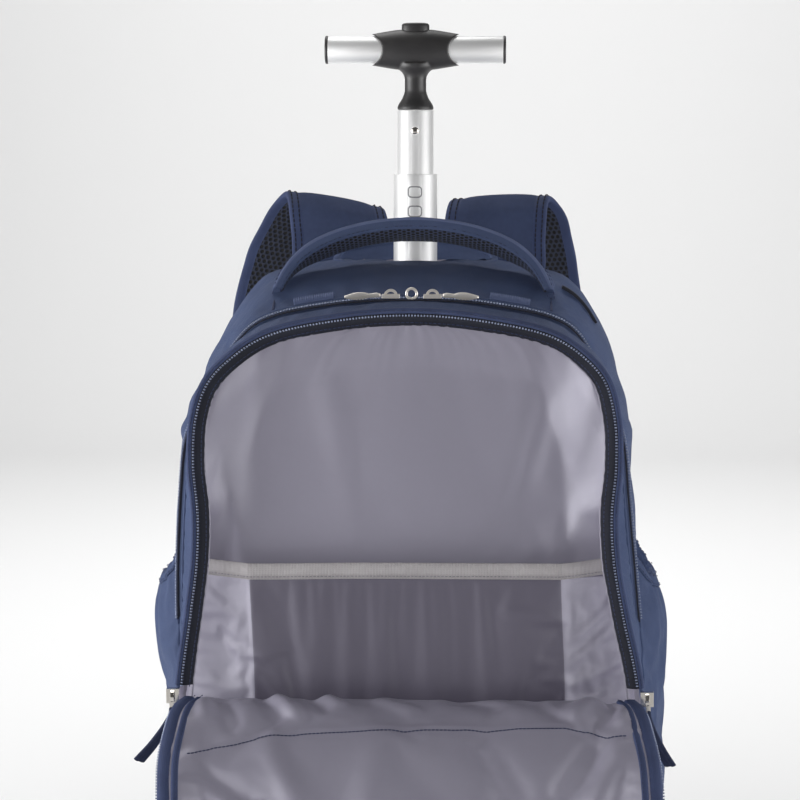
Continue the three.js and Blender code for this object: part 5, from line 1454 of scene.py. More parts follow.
# The band runs from the fold down one edge, round the flap's end and back: two raised strips of
# tape with a stitched groove between them.
def makeFlapBand(grid, normal):
    left, end, right = grid[:, 0], grid[-1, 1:-1], grid[::-1, -1]
    leftIn, endIn, rightIn = grid[:, 0] - grid[:, 1], grid[-1, 1:-1] - grid[-2,
                                                1:-1], (grid[:, -1] - grid[:, -2])[::-1]
    line = np.vstack([left, end, right])
    outward = unit(np.vstack([leftIn, endIn, rightIn]))
    ups = np.vstack([normal[:, 0], normal[-1, 1:-1], normal[::-1, -1]])
    count = 340
    run = np.insert(np.cumsum(np.linalg.norm(np.diff(line, axis=0), axis=1)), 0, 0)
    at = np.linspace(0, run[-1], count)
    pick = lambda values: np.stack([np.interp(at, run, values[:, k]) for k in range(3)], 1)
    line, outward, ups = pick(line), pick(outward), pick(ups)
    # the corners turn on a soft curve
    for values in (outward, ups, line):
        for _ in range(14 if values is not line else 5):
            values[1:-1] = (values[:-2] + 2 * values[1:-1] + values[2:]) / 4
    outward, ups = unit(outward), unit(ups)
    outward = unit(outward - ups * np.sum(outward * ups, axis=1, keepdims=True))
    outerStrip = [(0.0006, -0.0024), (0.0013, -0.0010), (0.0013, 0.0012), (0.0006, 0.0024), (-0.0030, 0.0029),
                  (-0.0062, 0.0026), (-0.0074, 0.0013), (-0.0074, 0.0006), (-0.0030, 0.0004), (-0.0004, 0.0002),
                  (-0.0008, -0.0020)]
    innerStrip = [(-0.0079, 0.0008), (-0.0080, 0.0022), (-0.0092, 0.0030), (-0.0112, 0.0029), (-0.0125, 0.0020),
                  (-0.0126, 0.0010)]
    for name, section in (("flapBand", outerStrip), ("flapBandInner", innerStrip)):
        shape = flipFor(line, outward, ups, section)
        band = newObject(name, sweep(line, outward, shape, name=name), ["navyTape"])
        if name == "flapBand":
            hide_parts("flap_band")
    for name, offset, lift in (("flapBandStitches", -0.0064, 0.0027), ("flapBandStitchesInner", -0.0116, 0.0029)):
        stitches(name, line + outward * offset + ups * lift, outward, ups, "navyThread", 0.0032, 0.0025)
    # this edge's half of the zip's teeth
    row = line + outward * 0.0019 - ups * 0.0012
    rowOf("flapTeeth", row, outward, ups, *tooth(0.0015), zips["pitch"], "darkTeeth")


# One tooth of a coil zip, seen as a small rounded block across its tape.
def tooth(width, length=0.0010, height=0.0012):
    a, b, c = width / 2, length / 2, height / 2
    low = [(-a, -b, -c), (a, -b, -c), (a, b, -c), (-a, b, -c)]
    middle = [(-a, -b, 0.3 * c), (a, -b, 0.3 * c), (a, b, 0.3 * c), (-a, b, 0.3 * c)]
    high = [(-0.7 * a, -0.5 * b, c), (0.7 * a, -0.5 * b, c), (0.7 * a, 0.5 * b, c), (-0.7 * a, 0.5 * b, c)]
    faces = [[3, 2, 1, 0], [8, 9, 10, 11]]
    faces += [[r + k, r + (k + 1) % 4, r + 4 + (k + 1) % 4, r + 4 + k] for r in (0, 4) for k in range(4)]
    return [*low, *middle, *high], faces


# Zips: the open one round the rim, and the closed one between the compartments

zips = {
    "rimStart": foldHeight + 0.0065,
    "mainStart": 0.242,
    "pitch": 0.0021,
    "rimBinding": [(0.0012, 0.0050), (0.0021, 0.0020), (0.0019, -0.0008), (0.0008, -0.0018), (-0.0014, -0.0019),
                   (-0.0016, -0.0012), (0.0002, -0.0008), (0.0010, 0.0002), (0.0008, 0.0048)],
    "rimTape": [(-0.0004, -0.0006), (-0.0004, -0.0013), (-0.0038, -0.0014), (-0.0070, 0.0010), (-0.0104, 0.0048),
                (-0.0105, 0.0055), (-0.0068, 0.0019), (-0.0036, -0.0006)],
    "mainTape": [(-0.0053, 0.0002), (-0.0053, 0.0010), (-0.0020, 0.0014), (0.0020, 0.0014), (0.0053, 0.0010),
                 (0.0053, 0.0002)],
}


def makeZips(p):
    low = countAt(rimY, p["rimStart"])
    count = 520
    line = between(loopAt(rimY), -low, low, count)
    outward = between(outwardAt(rimY), -low, low, count)
    binding = newObject("rimBinding", sweep(line, outward, p["rimBinding"], name="rimBinding"), ["navyTape"])
    tape = newObject("rimTape", sweep(line, outward, p["rimTape"], name="rimTape"), ["blackTape"])
    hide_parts("rim_tape")
    shape, faces = tooth(0.0014, height=0.0014)
    row = line - outward * 0.0029 + np.array([0, -0.0021, 0])
    teeth = rowOf("rimTeeth", row, outward, (0, -1, 0), shape, faces, p["pitch"], "darkTeeth")
    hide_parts("rim_coil")
    seam = line + outward * 0.0003 + np.array([0, -0.0020, 0])
    stitches("rimStitches", seam, outward, (0, -1, 0), "navyThread")
    innerSeam = line - outward * 0.0081 + np.array([0, 0.0019, 0])
    stitches("rimInnerStitches", innerSeam, outward, (0, -1, 0), "navyThread")

    middle = joinY + 0.0053
    foot = countAt(middle, p["mainStart"])
    line = between(loopAt(middle, 0.0013), -foot, foot, count)
    outward = between(outwardAt(middle), -foot, foot, count)
    tape = newObject("mainZipTape",
                     sweep(line, (0, 1, 0), flipFor(line, (0, 1, 0), outward, p["mainTape"]), name="mainZipTape"),
                     ["blackTape"])
    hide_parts("main_zip")
    shape, faces = tooth(0.0012, height=0.0013)
    for name, shift, phase in (("mainTeethFront", -0.0009, 0.0), ("mainTeethBack", 0.0009, 0.15)):
        row = line + outward * 0.0024 + np.array([0, shift, 0])
        rowOf(name, row, (0, 1, 0), outward, shape, faces, p["pitch"], "darkTeeth", phase=phase)
    for name, shift in (("mainZipSeamFront", -0.0046), ("mainZipSeamBack", 0.0046)):
        stitches(name, line + outward * 0.0012 + np.array([0, shift, 0]), (0, 1, 0), outward, "navyThread")
    # turned edges of the cloth beside the tape
    for name, shift, rise in (("mainEdgeFront", -0.0066, -0.0004), ("mainEdgeBack", 0.0066, 0.0024)):
        edge = between(loopAt(middle + shift, rise), -foot - 2, foot + 2, count)
        newObject(name, sweep(edge, (0, 1, 0), roundSection(0.0019, 0.0011, 8, 2.2), name=name), ["navyFabric"])


# A section whose second number is meant along a given direction, whatever way the line runs.
def flipFor(line, across, up, section):
    turned = np.sum(np.cross(np.broadcast_to(np.asarray(across, float), line.shape), slopes(line)) * up,
                    axis=1).mean()
    return [(a, b if turned > 0 else -b) for a, b in section]


# Side pockets

pockets = {
    "top": 0.290,
    "bottom": 0.074,
    "sag": 0.022,
    "hem": 0.009,
    "bulge": 0.015,
    "front": joinY + 0.0109,
    "back": backY - 0.008,
    "rows": {
        "left": [(0, 0.1), (0.07, 0.3), (0.25, 0.38), (0.48, 0.46), (0.62, 0.74), (0.76, 1), (0.9, 1.02), (1, 0.86)],
        "right": [(0, 0.1), (0.07, 0.5), (0.25, 0.74), (0.48, 0.84), (0.62, 0.88), (0.76, 0.94), (0.9, 1.03),
                  (1, 0.92)],
    },
    "columns": [(0, 0), (0.08, 0.5), (0.22, 0.86), (0.5, 1), (0.78, 0.86), (0.92, 0.5), (1, 0)],
    # (share of depth, share of height) from, to, width in metres, height
    "folds": {
        "left": [((0.45, 1.0), (0.30, 0.62), 0.006, 0.0032), ((0.62, 1.0), (0.70, 0.55), 0.007, -0.0030),
                 ((0.2, 0.98), (0.12, 0.7), 0.005, 0.0026), ((0.5, 0.6), (0.35, 0.25), 0.008, 0.0024),
                 ((0.8, 0.95), (0.88, 0.6), 0.006, 0.0024), ((0.3, 0.4), (0.6, 0.2), 0.009, -0.0022)],
        "right": [((0.35, 1.0), (0.25, 0.60), 0.006, 0.0034), ((0.55, 1.0), (0.48, 0.60), 0.006, -0.0030),
                  ((0.72, 0.98), (0.8, 0.62), 0.006, 0.0030), ((0.15, 0.95), (0.1, 0.7), 0.005, 0.0024),
                  ((0.4, 0.5), (0.6, 0.2), 0.010, -0.0024), ((0.25, 0.35), (0.35, 0.1), 0.008, 0.0020)],
    },
    "gather": 0.0115,
    "spare": 0.02,
    "cap": 0.003,
}


def pocketGrid(p, side, shares, outs, low, high, count=46):
    s = -1 if side == "left" else 1
    depth = (1 - np.cos(np.linspace(0, math.pi, count))) / 2
    depth = 0.5 * depth + 0.5 * np.linspace(0, 1, count)
    across = tableAt(p["columns"], depth)
    ys = p["front"] + depth * (p["back"] - p["front"])
    grid = np.zeros((len(shares), count, 3))
    for c, y in enumerate(ys):
        z = low + shares * (high - p["sag"] * across[c] - low)
        x = halfWidthAt(y, z) + 0.0022 + p["bulge"] * outs * across[c]
        grid[:, c, 0] = s * x + lean(y, z)
        grid[:, c, 1] = y
        grid[:, c, 2] = z
    return grid, depth


def startPocket(p, side):
    shares = np.linspace(0, 1, 44)
    grid, depth = pocketGrid(p, side, shares, tableAt(p["rows"][side], shares), p["bottom"], p["top"] - p["hem"])
    s = -1 if side == "left" else 1
    x, y = np.meshgrid(depth * 0.1, shares * 0.2)
    folds = [((a[0] * 0.1, a[1] * 0.2), (b[0] * 0.1, b[1] * 0.2), w, h) for a, b, w, h in p["folds"][side]]
    free = smooth(np.minimum(depth, 1 - depth) / 0.12)[None] * smooth(shares / 0.1)[:, None]
    wave = gathers(depth * 0.11, p["gather"], 40 + s)[None] * (0.0017 * np.exp(-(1 - shares) / 0.22))[:, None]
    grid[..., 0] += s * (foldHeights(x, y, folds) + wave) * free
    pinned = np.zeros(grid.shape[:2])
    pinned[0] = pinned[:, 0] = pinned[:, -1] = 1
    pinned[-1] = 0.8
    return waitForCloth(f"pocket{side.title()}", grid, pinned, p["spare"], p["cap"])


def finishPocket(p, side, grid):
    s = -1 if side == "left" else 1
    cloth = newObject(f"sidePocket{side.title()}", gridMesh(f"sidePocket{side.title()}", grid), ["navyFabric"])
    thicken(cloth, 0.0013, outside=awayFrom(cloth, (s, 0, 0)), rounds=1)
    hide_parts(f"side_pocket_{side}")
    # the elastic hem continues the pocket's top edge, in finer gathers
    edge, before = grid[-1], grid[-3]
    rise = unit(edge - before)
    rows = []
    depth = np.linspace(0, 1, edge.shape[0])
    fine = gathers(depth * 0.11, 0.0062, 50 + s) * smooth(np.minimum(depth, 1 - depth) / 0.06)
    for t in np.linspace(0, 1, 9):
        row = edge + rise * p["hem"] * t
        row[:, 0] += s * (0.0006 + 0.0007 * math.sin(math.pi * t) - 0.0022 * t * smooth(np.minimum(depth,
                                                    1 - depth) / 0.2))
        row[:, 0] += s * 0.0008 * fine * (0.4 + 0.6 * math.sin(math.pi * t))
        rows.append(row)
    hem = newObject(f"pocketHem{side.title()}", gridMesh(f"pocketHem{side.title()}", np.array(rows)), ["navyFabric"])
    thicken(hem, 0.0024, outside=awayFrom(hem, (s, 0, 0)), rounds=2)
    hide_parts(f"pocket_hem_{side}")
    for k, name in ((1, "Low"), (7, "High")):
        seam = rows[k].copy()
        seam[:, 0] += s * 0.0003
        stitches(f"hemStitches{name}{side.title()}", seam, (0, 0, 1), (s, 0, 0), "navyThread", pitch=0.0033,
                 length=0.0024)


# Carry handle

handle = {
    "halfSpan": 0.584 * bagForm["halfWidth"],
    "rise": 0.0395,
    "footY": joinY + 0.044,
    "leanBack": 0.42,
    # across (front is minus) and up, in metres; then which finish each side takes
    "section": [
        (-0.0126, 0.0046), (-0.0118, 0.0036), (-0.0100, 0.0044), (-0.0040, 0.0052), (0.0040, 0.0052), (0.0100,
                                                    0.0044), (0.0118, 0.0036), (0.0126, 0.0046),
        (0.0141, 0.0052), (0.0152, 0.0040), (0.0146, 0.0024), (0.0150, 0.0014), (0.0152, -0.0016), (0.0144,
                                                    -0.0034), (0.0138, -0.0030), (0.0060, -0.0058),
        (-0.0060, -0.0058), (-0.0138, -0.0030), (-0.0144, -0.0034), (-0.0152, -0.0016), (-0.0150, 0.0014), (-0.0146,
                                                    0.0024), (-0.0152, 0.0040), (-0.0141, 0.0052),
    ],
    "netSides": (14, 15, 16),
    "tapeSides": (7, 8, 9, 21, 22, 23),
}


def handleLine(p, steps=120):
    slope = float(topAt(p["footY"] + 0.01, p["halfSpan"]) - topAt(p["footY"] - 0.01, p["halfSpan"])) / 0.02
    footZ = float(topAt(p["footY"], p["halfSpan"])) + 0.0066 * math.hypot(1, slope) + 0.0006
    a = np.linspace(math.pi, 0, steps)
    up = p["rise"] * np.sin(a) ** 1.32
    end = np.abs(np.cos(a)) ** 8
    line = np.stack([-p["halfSpan"] * np.cos(a), p["footY"] + p["leanBack"] * up, footZ + up - 0.0045 * end**3], 1)
    across = unit(np.stack([0 * a, 1 + 0 * a, slope * end - p["leanBack"] * (1 - end)], 1))
    size = 1 - 0.2 * end
    return line, across, np.stack([size, 0.75 + 0.25 * size - 0.25 * end], 1)


def makeHandle(p):
    line, across, grow = handleLine(p)
    bands = [2 if k in p["netSides"] else 1 if k in p["tapeSides"] else 0 for k in range(len(p["section"]))]
    # padding swells between the stitches, so the section breathes a little along the handle
    swell = 1 + 0.03 * gathers(np.arange(len(line)) * 0.002, 0.03, 61)
    grow = grow * np.stack([np.ones(len(line)), swell], 1)
    pad = newObject("carryHandle", sweep(line, across, p["section"], grow=grow, bands=bands, name="carryHandle"),
                    ["navyFabric", "pipingTape", "handleNet"])
    rounded(pad)
    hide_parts("carry_handle")
    ups = np.cross(across, slopes(line))
    for name, w, h in (("handleStitchesFront", -0.0108, 0.0051), ("handleStitchesBack", 0.0108, 0.0051)):
        row = line + across * w * grow[:, :1] + ups * (h + 0.0002) * grow[:, 1:]
        stitches(name, row, across, ups, "navyThread", pitch=0.0034, length=0.0026, size=0.0007)
    for side in (-1, 1):
        ys = np.linspace(joinY + 0.0135, p["footY"] - 0.004, 24)
        seam = np.array([(side * (p["halfSpan"] + 0.0006), y,
                          float(topAt(y, p["halfSpan"])) + mainCloth["puff"] * 0.8 + 0.0006) for y in ys])
        seam[:, 0] += lean(seam[:, 1], seam[:, 2])
        newObject(f"notchSeam{'Left' if side < 0 else 'Right'}",
                  sweep(seam, (1, 0, 0), roundSection(0.0011, 0.0009, 8), name="notchSeam"), ["navyThread"])
    row = line + across * -0.0153 * grow[:, :1] + ups * -0.0022 * grow[:, 1:]
    stitches("handleStitchesUnder", row, across, -across, "navyThread", pitch=0.0034, length=0.0026, size=0.0006)


# Shoulder straps

straps = {
    "thickness": 0.011,
    "foot": 0.205,
    "bow": 0.046,
    "rootX": 0.35 * bagForm["halfWidth"],
    "footX": bagForm["halfWidth"] - 0.048,
    # up, back, out
    "rows": [
        (0.7, 0, 0), (0.86, 0, 0.01), (0.955, 0.0, 0.01), (0.986, 0.08, 0.03), (1, 0.25, 0.07), (0.987, 0.42, 0.16),
        (0.955, 0.51, 0.27), (0.86, 0.60, 0.38), (0.64, 0.84, 0.53), (0.42, 1, 0.68), (0.2, 0.94, 0.84), (0, 0.72, 1),
    ],
    "poses": [
        {"name": "left", "side": -1, "top": bagForm["top"] + 0.0375, "tilt": 0.17, "spread": 0.020, "slant": 0.012},
        {"name": "right", "side": 1, "top": bagForm["top"] + 0.039, "tilt": 0.04, "spread": 0.002, "slant": 0.002},
    ],
    "section": [
        (-0.0378, 0.0), (-0.0374, 0.0022), (-0.0362, 0.0029), (-0.0290, 0.0034), (-0.0284, 0.0028), (-0.0240,
                                                    0.0044), (-0.0120, 0.0053),
        (0, 0.0055), (0.0120, 0.0053), (0.0240, 0.0044), (0.0284, 0.0028), (0.0290, 0.0034), (0.0362,
                                                    0.0029), (0.0374, 0.0022),
        (0.0378, 0.0), (0.0374, -0.0022), (0.0362, -0.0028), (0.0318, -0.0030), (0.0312, -0.0024), (0.0240,
                                                    -0.0043), (0.0120, -0.0052),
        (0, -0.0054), (-0.0120, -0.0052), (-0.0240, -0.0043), (-0.0312, -0.0024), (-0.0318, -0.0030), (-0.0362,
                                                    -0.0028), (-0.0374, -0.0022),
    ],
}
strapSides = [1] * 4 + [0] * 6 + [1] * 8 + [2] * 6 + [1] * 4


def strapStations(p, pose):
    side = pose["side"]
    rear = np.arange(len(p["rows"])) > 4
    points, turns, halves = [], [], []
    for (up, back, out), behind in zip(p["rows"], rear):
        hang = smooth((1 - up) / 0.25) * (1 - smooth((0.75 - up) / 0.6)) if behind else 0
        x = p["rootX"] - (0 if behind else pose["slant"] * (1 - up) * 2) + out * (p["footX"] - p["rootX"]) + pose["spread"] * hang
        y = backY + 0.012 + 0.0006 + p["thickness"] / 2 + back * p["bow"]
        points.append((side * x, y, p["foot"] + up * (pose["top"] - p["foot"])))
        ease = np.interp(up, [0.7, 1], [0.35, 1])
        turns.append(pose["tilt"] * ease * ((1.25 * (1 if up > 0.4 else up / 0.4)) if behind else 1))
        halves.append(1 - 0.22 * float(smooth((0.5 - up) / 0.5)))
    line = curveThrough(points, 110)
    known = np.insert(np.cumsum(np.linalg.norm(np.diff(points, axis=0), axis=1)), 0, 0)
    share = np.interp(np.linspace(0, known[-1], 110), known, np.arange(len(points)))
    turn = np.interp(share, np.arange(len(points)), turns)
    half = np.interp(share, np.arange(len(points)), halves)
    across = np.stack([np.cos(turn), 0 * turn, side * np.sin(turn)], 1)
    return line, across, half


def makeStrap(p, pose):
    line, across, half = strapStations(p, pose)
    name = f"shoulderStrap{pose['name'].title()}"
    size = len(line)
    # soft cross-creases where the pad turns over its fold
    bend = np.exp(-((line[:, 2] - line[:, 2].max()) / 0.018) ** 2)
    swell = 1 + 0.05 * gathers(np.arange(size) * 0.0045, 0.05,
                               71) - 0.10 * bend * (0.6 + 0.4 * np.sin(np.arange(size) * 1.7))
    grow = np.stack([half * (1 + 0.012 * gathers(np.arange(size) * 0.0045, 0.04, 72)), swell], 1)
    mesh = sweep(line, across, p["section"], grow=grow, bands=strapSides, name=name, square=False)
    pad = newObject(name, mesh, ["strapFabric", "navyTape", "spacerMesh"])
    rounded(pad)
    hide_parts(f"shoulder_strap_{pose['name']}")
    ups = unit(np.cross(across, slopes(line)))
    for side, edge in (("Out", -1), ("In", 1)):
        for k, at in (("A", 0.0300), ("B", 0.0345)):
            row = line + across * (edge * at * grow[:, :1]) + ups * 0.0033 * grow[:, 1:]
            stitches(f"strapStitches{side}{k}{pose['name'].title()}", row, across, ups, "blackTape", pitch=0.0036,
                     length=0.0030, size=0.0010)
    return line


# Webbing and slide buckles under the pads

webbing = {"width": 0.025, "thickness": 0.0016, "anchor": (bagForm["halfWidth"] - 0.028, backY + 0.0134, 0.096)}


def makeWebbing(p, pose, strapLine):
    side = pose["side"]
    end = np.array([side * p["anchor"][0], p["anchor"][1], p["anchor"][2]])
    start = strapLine[-1] + unit(end - strapLine[-1]) * 0.003
    top = strapLine[-1] + unit(strapLine[-1] - end) * 0.004
    line = curveThrough([top, start, start * 0.5 + end * 0.5, end + unit(start - end) * 0.004, end], 40)
    across = np.array([1.0, 0, 0])
    w, h = p["width"] / 2, p["thickness"] / 2
    section = [(-w, -0.4 * h), (-w + 0.0008, -h), (w - 0.0008, -h), (w, -0.4 * h), (w, 0.4 * h), (w - 0.0008, h),
               (-w + 0.0008, h), (-w, 0.4 * h)]
    strap = newObject(f"strapWebbing{pose['name'].title()}", sweep(line, across, section, name="strapWebbing"),
                      ["darkTape"])
    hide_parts(f"strap_webbing_{pose['name']}")
    ups = np.cross(np.broadcast_to(across, line.shape), slopes(line))
    for k in (-0.0105, 0.0105):
        row = line[2:-2] + across * k + ups[2:-2] * (h + 0.0001)
        stitches(f"webbingStitches{'A' if k < 0 else 'B'}{pose['name'].title()}", row, across, ups[2:-2],
                 "navyThread", size=0.0005)


# Hard parts taken over from the CAD, with their edges rounded

def roundedCopy(name, nodeName, width, finish, body="bag", segments=2, angle=30):
    mesh = nodes[nodeName].data.copy()
    mesh.name = name
    mesh.materials.clear()
    tidy = bmesh.new()
    tidy.from_mesh(mesh)
    bmesh.ops.remove_doubles(tidy, verts=tidy.verts, dist=0.00001)
    bmesh.ops.dissolve_limit(tidy, angle_limit=math.radians(1), verts=tidy.verts, edges=tidy.edges)
    bmesh.ops.recalc_face_normals(tidy, faces=tidy.faces)
    tidy.to_mesh(mesh)
    tidy.free()
    made = newObject(name, mesh, [finish], body)
    made.data.shade_flat()
    bevel(made, width, segments, angle)
    smoothing = made.modifiers.new("shading", "WEIGHTED_NORMAL")
    smoothing.keep_sharp = True
    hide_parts(nodeName)
    return made


# A turned shape: profile of (radius, height), closed on itself.
def turnedMesh(name, profile, steps=72, axis="z"):
    ring = np.array([*profile, profile[0]], float)
    angles = np.linspace(0, 2 * math.pi, steps, endpoint=False)
    grid = np.stack([ring[:, :1] * np.cos(angles)[None], ring[:, :1] * np.sin(angles)[None],
                     np.repeat(ring[:, 1:], steps, axis=1)], 2)
    if axis == "x":
        grid = grid[..., [2, 0, 1]]
    if axis == "y":
        grid = grid[..., [0, 2, 1]]
    return mend(gridMesh(name, grid, closed=True), merge=0.000001)


def turned(name, profile, place, finish, body, steps=72, axis="z", angle=32):
    mesh = turnedMesh(name, profile, steps, axis)
    mesh.transform(Matrix.Translation(place))
    made = newObject(name, mesh, [finish], body)
    mesh.set_sharp_from_angle(angle=math.radians(angle))
    return made


# The telescoping pole

pole = {
    "y": backY - 0.021,
    "wall": 0.0013,
    "innerRadius": 0.0131,
    "middleRadius": 0.0159,
    "baseRadius": 0.0187,
    "middleTop": bagForm["top"] + 0.060,
    "innerTop": bagForm["top"] + 0.060 + 0.046,
    "glide": 0.014,
    "windows": (0.0126, 0.0266),
    "windowSize": (0.0094, 0.0072),
    "catchDrop": 0.0145,
    "catchRadius": 0.0027,
}


def tubeProfile(radius, wall, low, high, foot=None):
    inside, soft = radius - wall, 0.0004
    outer = [(inside + soft, high), (radius - soft, high), (radius - 0.3 * soft, high - 0.3 * soft),
             (radius, high - soft)]
    if foot:
        outer += [(radius, low + foot[1] + 0.0006), (radius + 0.0003, low + foot[1]),
                  (foot[0] - 0.0003, low + foot[1]), (foot[0], low + foot[1] - 0.0003), (foot[0], low)]
    else:
        outer += [(radius, low)]
    return [*outer, (inside, low), (inside, high - soft)]


# A bar through the front wall of one of the tubes, to cut it with.
def boreMesh(tubeRadius, z, outline):
    line = [(0, pole["y"] - share * tubeRadius, z) for share in (1.4, 0.5)]
    return sweep(line, (1, 0, 0), outline, name="bore")

def makePole(p):
    base, middle, inner = (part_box(name) for name in ("base_tube", "middle_tube", "inner_tube"))
    place = (0, p["y"], 0)
    tube = turned("baseTube", tubeProfile(p["baseRadius"], p["wall"], base[0].z, base[1].z), place, "aluminium",
                  "bag")
    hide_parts("base_tube")
    foot = (p["middleRadius"] + 0.0012, p["glide"])
    tube = turned("middleTube", tubeProfile(p["middleRadius"], p["wall"], middle[0].z, middle[1].z, foot), place,
                  "aluminium", "lower_pole", steps=96)
    for drop in p["windows"]:
        w, h = (v / 2 for v in p["windowSize"])
        cutWith(tube, boreMesh(p["middleRadius"], p["middleTop"] - drop, roundSection(w, h, 28, 5)))
        # a thin grey ring stands round each window: its grey is painted shade along the window's edge
        ring = roundSection(w + 0.0002, h + 0.0002, 40, 4)
        turn, reach = ring[:, 0] / p["middleRadius"], p["middleRadius"] - 0.0002
        line = np.stack([reach * np.sin(turn), p["y"] - reach * np.cos(turn), p["middleTop"] - drop + ring[:, 1]], 1)
        frameAcross = np.stack([np.sin(turn), -np.cos(turn), 0 * turn], 1)
        newObject(f"windowShadeRing{round(drop * 10000)}",
                  sweep(line, frameAcross, roundSection(0.0005, 0.0005, 8), closed=True, name="windowShadeRing"),
                  ["greyPlastic"], "lower_pole")
    tube.data.set_sharp_from_angle(angle=math.radians(32))
    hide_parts("middle_tube")
    foot = (p["innerRadius"] + 0.0012, p["glide"])
    tube = turned("innerTube", tubeProfile(p["innerRadius"], p["wall"], inner[0].z, inner[1].z, foot), place,
                  "aluminium", "upper_pole", steps=96)
    room = p["catchRadius"] + 0.0003
    cutWith(tube, boreMesh(p["innerRadius"], p["innerTop"] - p["catchDrop"], roundSection(room, room, 28)))
    tube.data.set_sharp_from_angle(angle=math.radians(32))
    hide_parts("inner_tube")
    r, front = p["catchRadius"], -(p["innerRadius"] + 0.0011)
    dome = [(r * math.cos(a), front + 0.0012 - 0.0012 * math.sin(a)) for a in np.linspace(0, math.pi / 2, 9)]
    pin = turned("catchButton", [(1e-5, front + 0.007), (r, front + 0.007), *dome[:-1], (1e-5, front)],
                 (0, p["y"], p["innerTop"] - p["catchDrop"]), "chrome", "catch", 40, "y")
    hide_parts("catch_button")


def cutWith(obj, mesh):
    tool = bpy.data.objects.new("tool", mesh)
    bpy.context.collection.objects.link(tool)
    cutting = obj.modifiers.new("cut", "BOOLEAN")
    cutting.operation = "DIFFERENCE"
    cutting.solver = "EXACT"
    cutting.object = tool
    applyModifiers(obj)
    bpy.data.objects.remove(tool)


# The grip: two short bars in a black hub on a waisted neck

grip = {
    "z": bagForm["top"] + 0.060 + 0.046 + 0.0435,
    "height": 0.0435,
    "halfLength": 0.0655,
    "barRadius": 0.0098,
    "barStart": 0.014,
    "cap": 0.002,
    "hub": (0.032, 0.0135, 0.015),
    "swell": [(-1, 0.745), (-0.72, 0.85), (-0.4, 0.955), (0, 1), (0.4, 0.955), (0.72, 0.85), (1, 0.745)],
    "neck": [(1, 0), (1, 0.035), (0.72, 0.2), (0.596, 0.33), (0.596, 0.5), (0.7, 0.6), (1, 0.7), (1.05, 0.78)],
    "scallop": (0.012, 0.036),
    "button": (0.010, 0.0065, 0.0044),
}


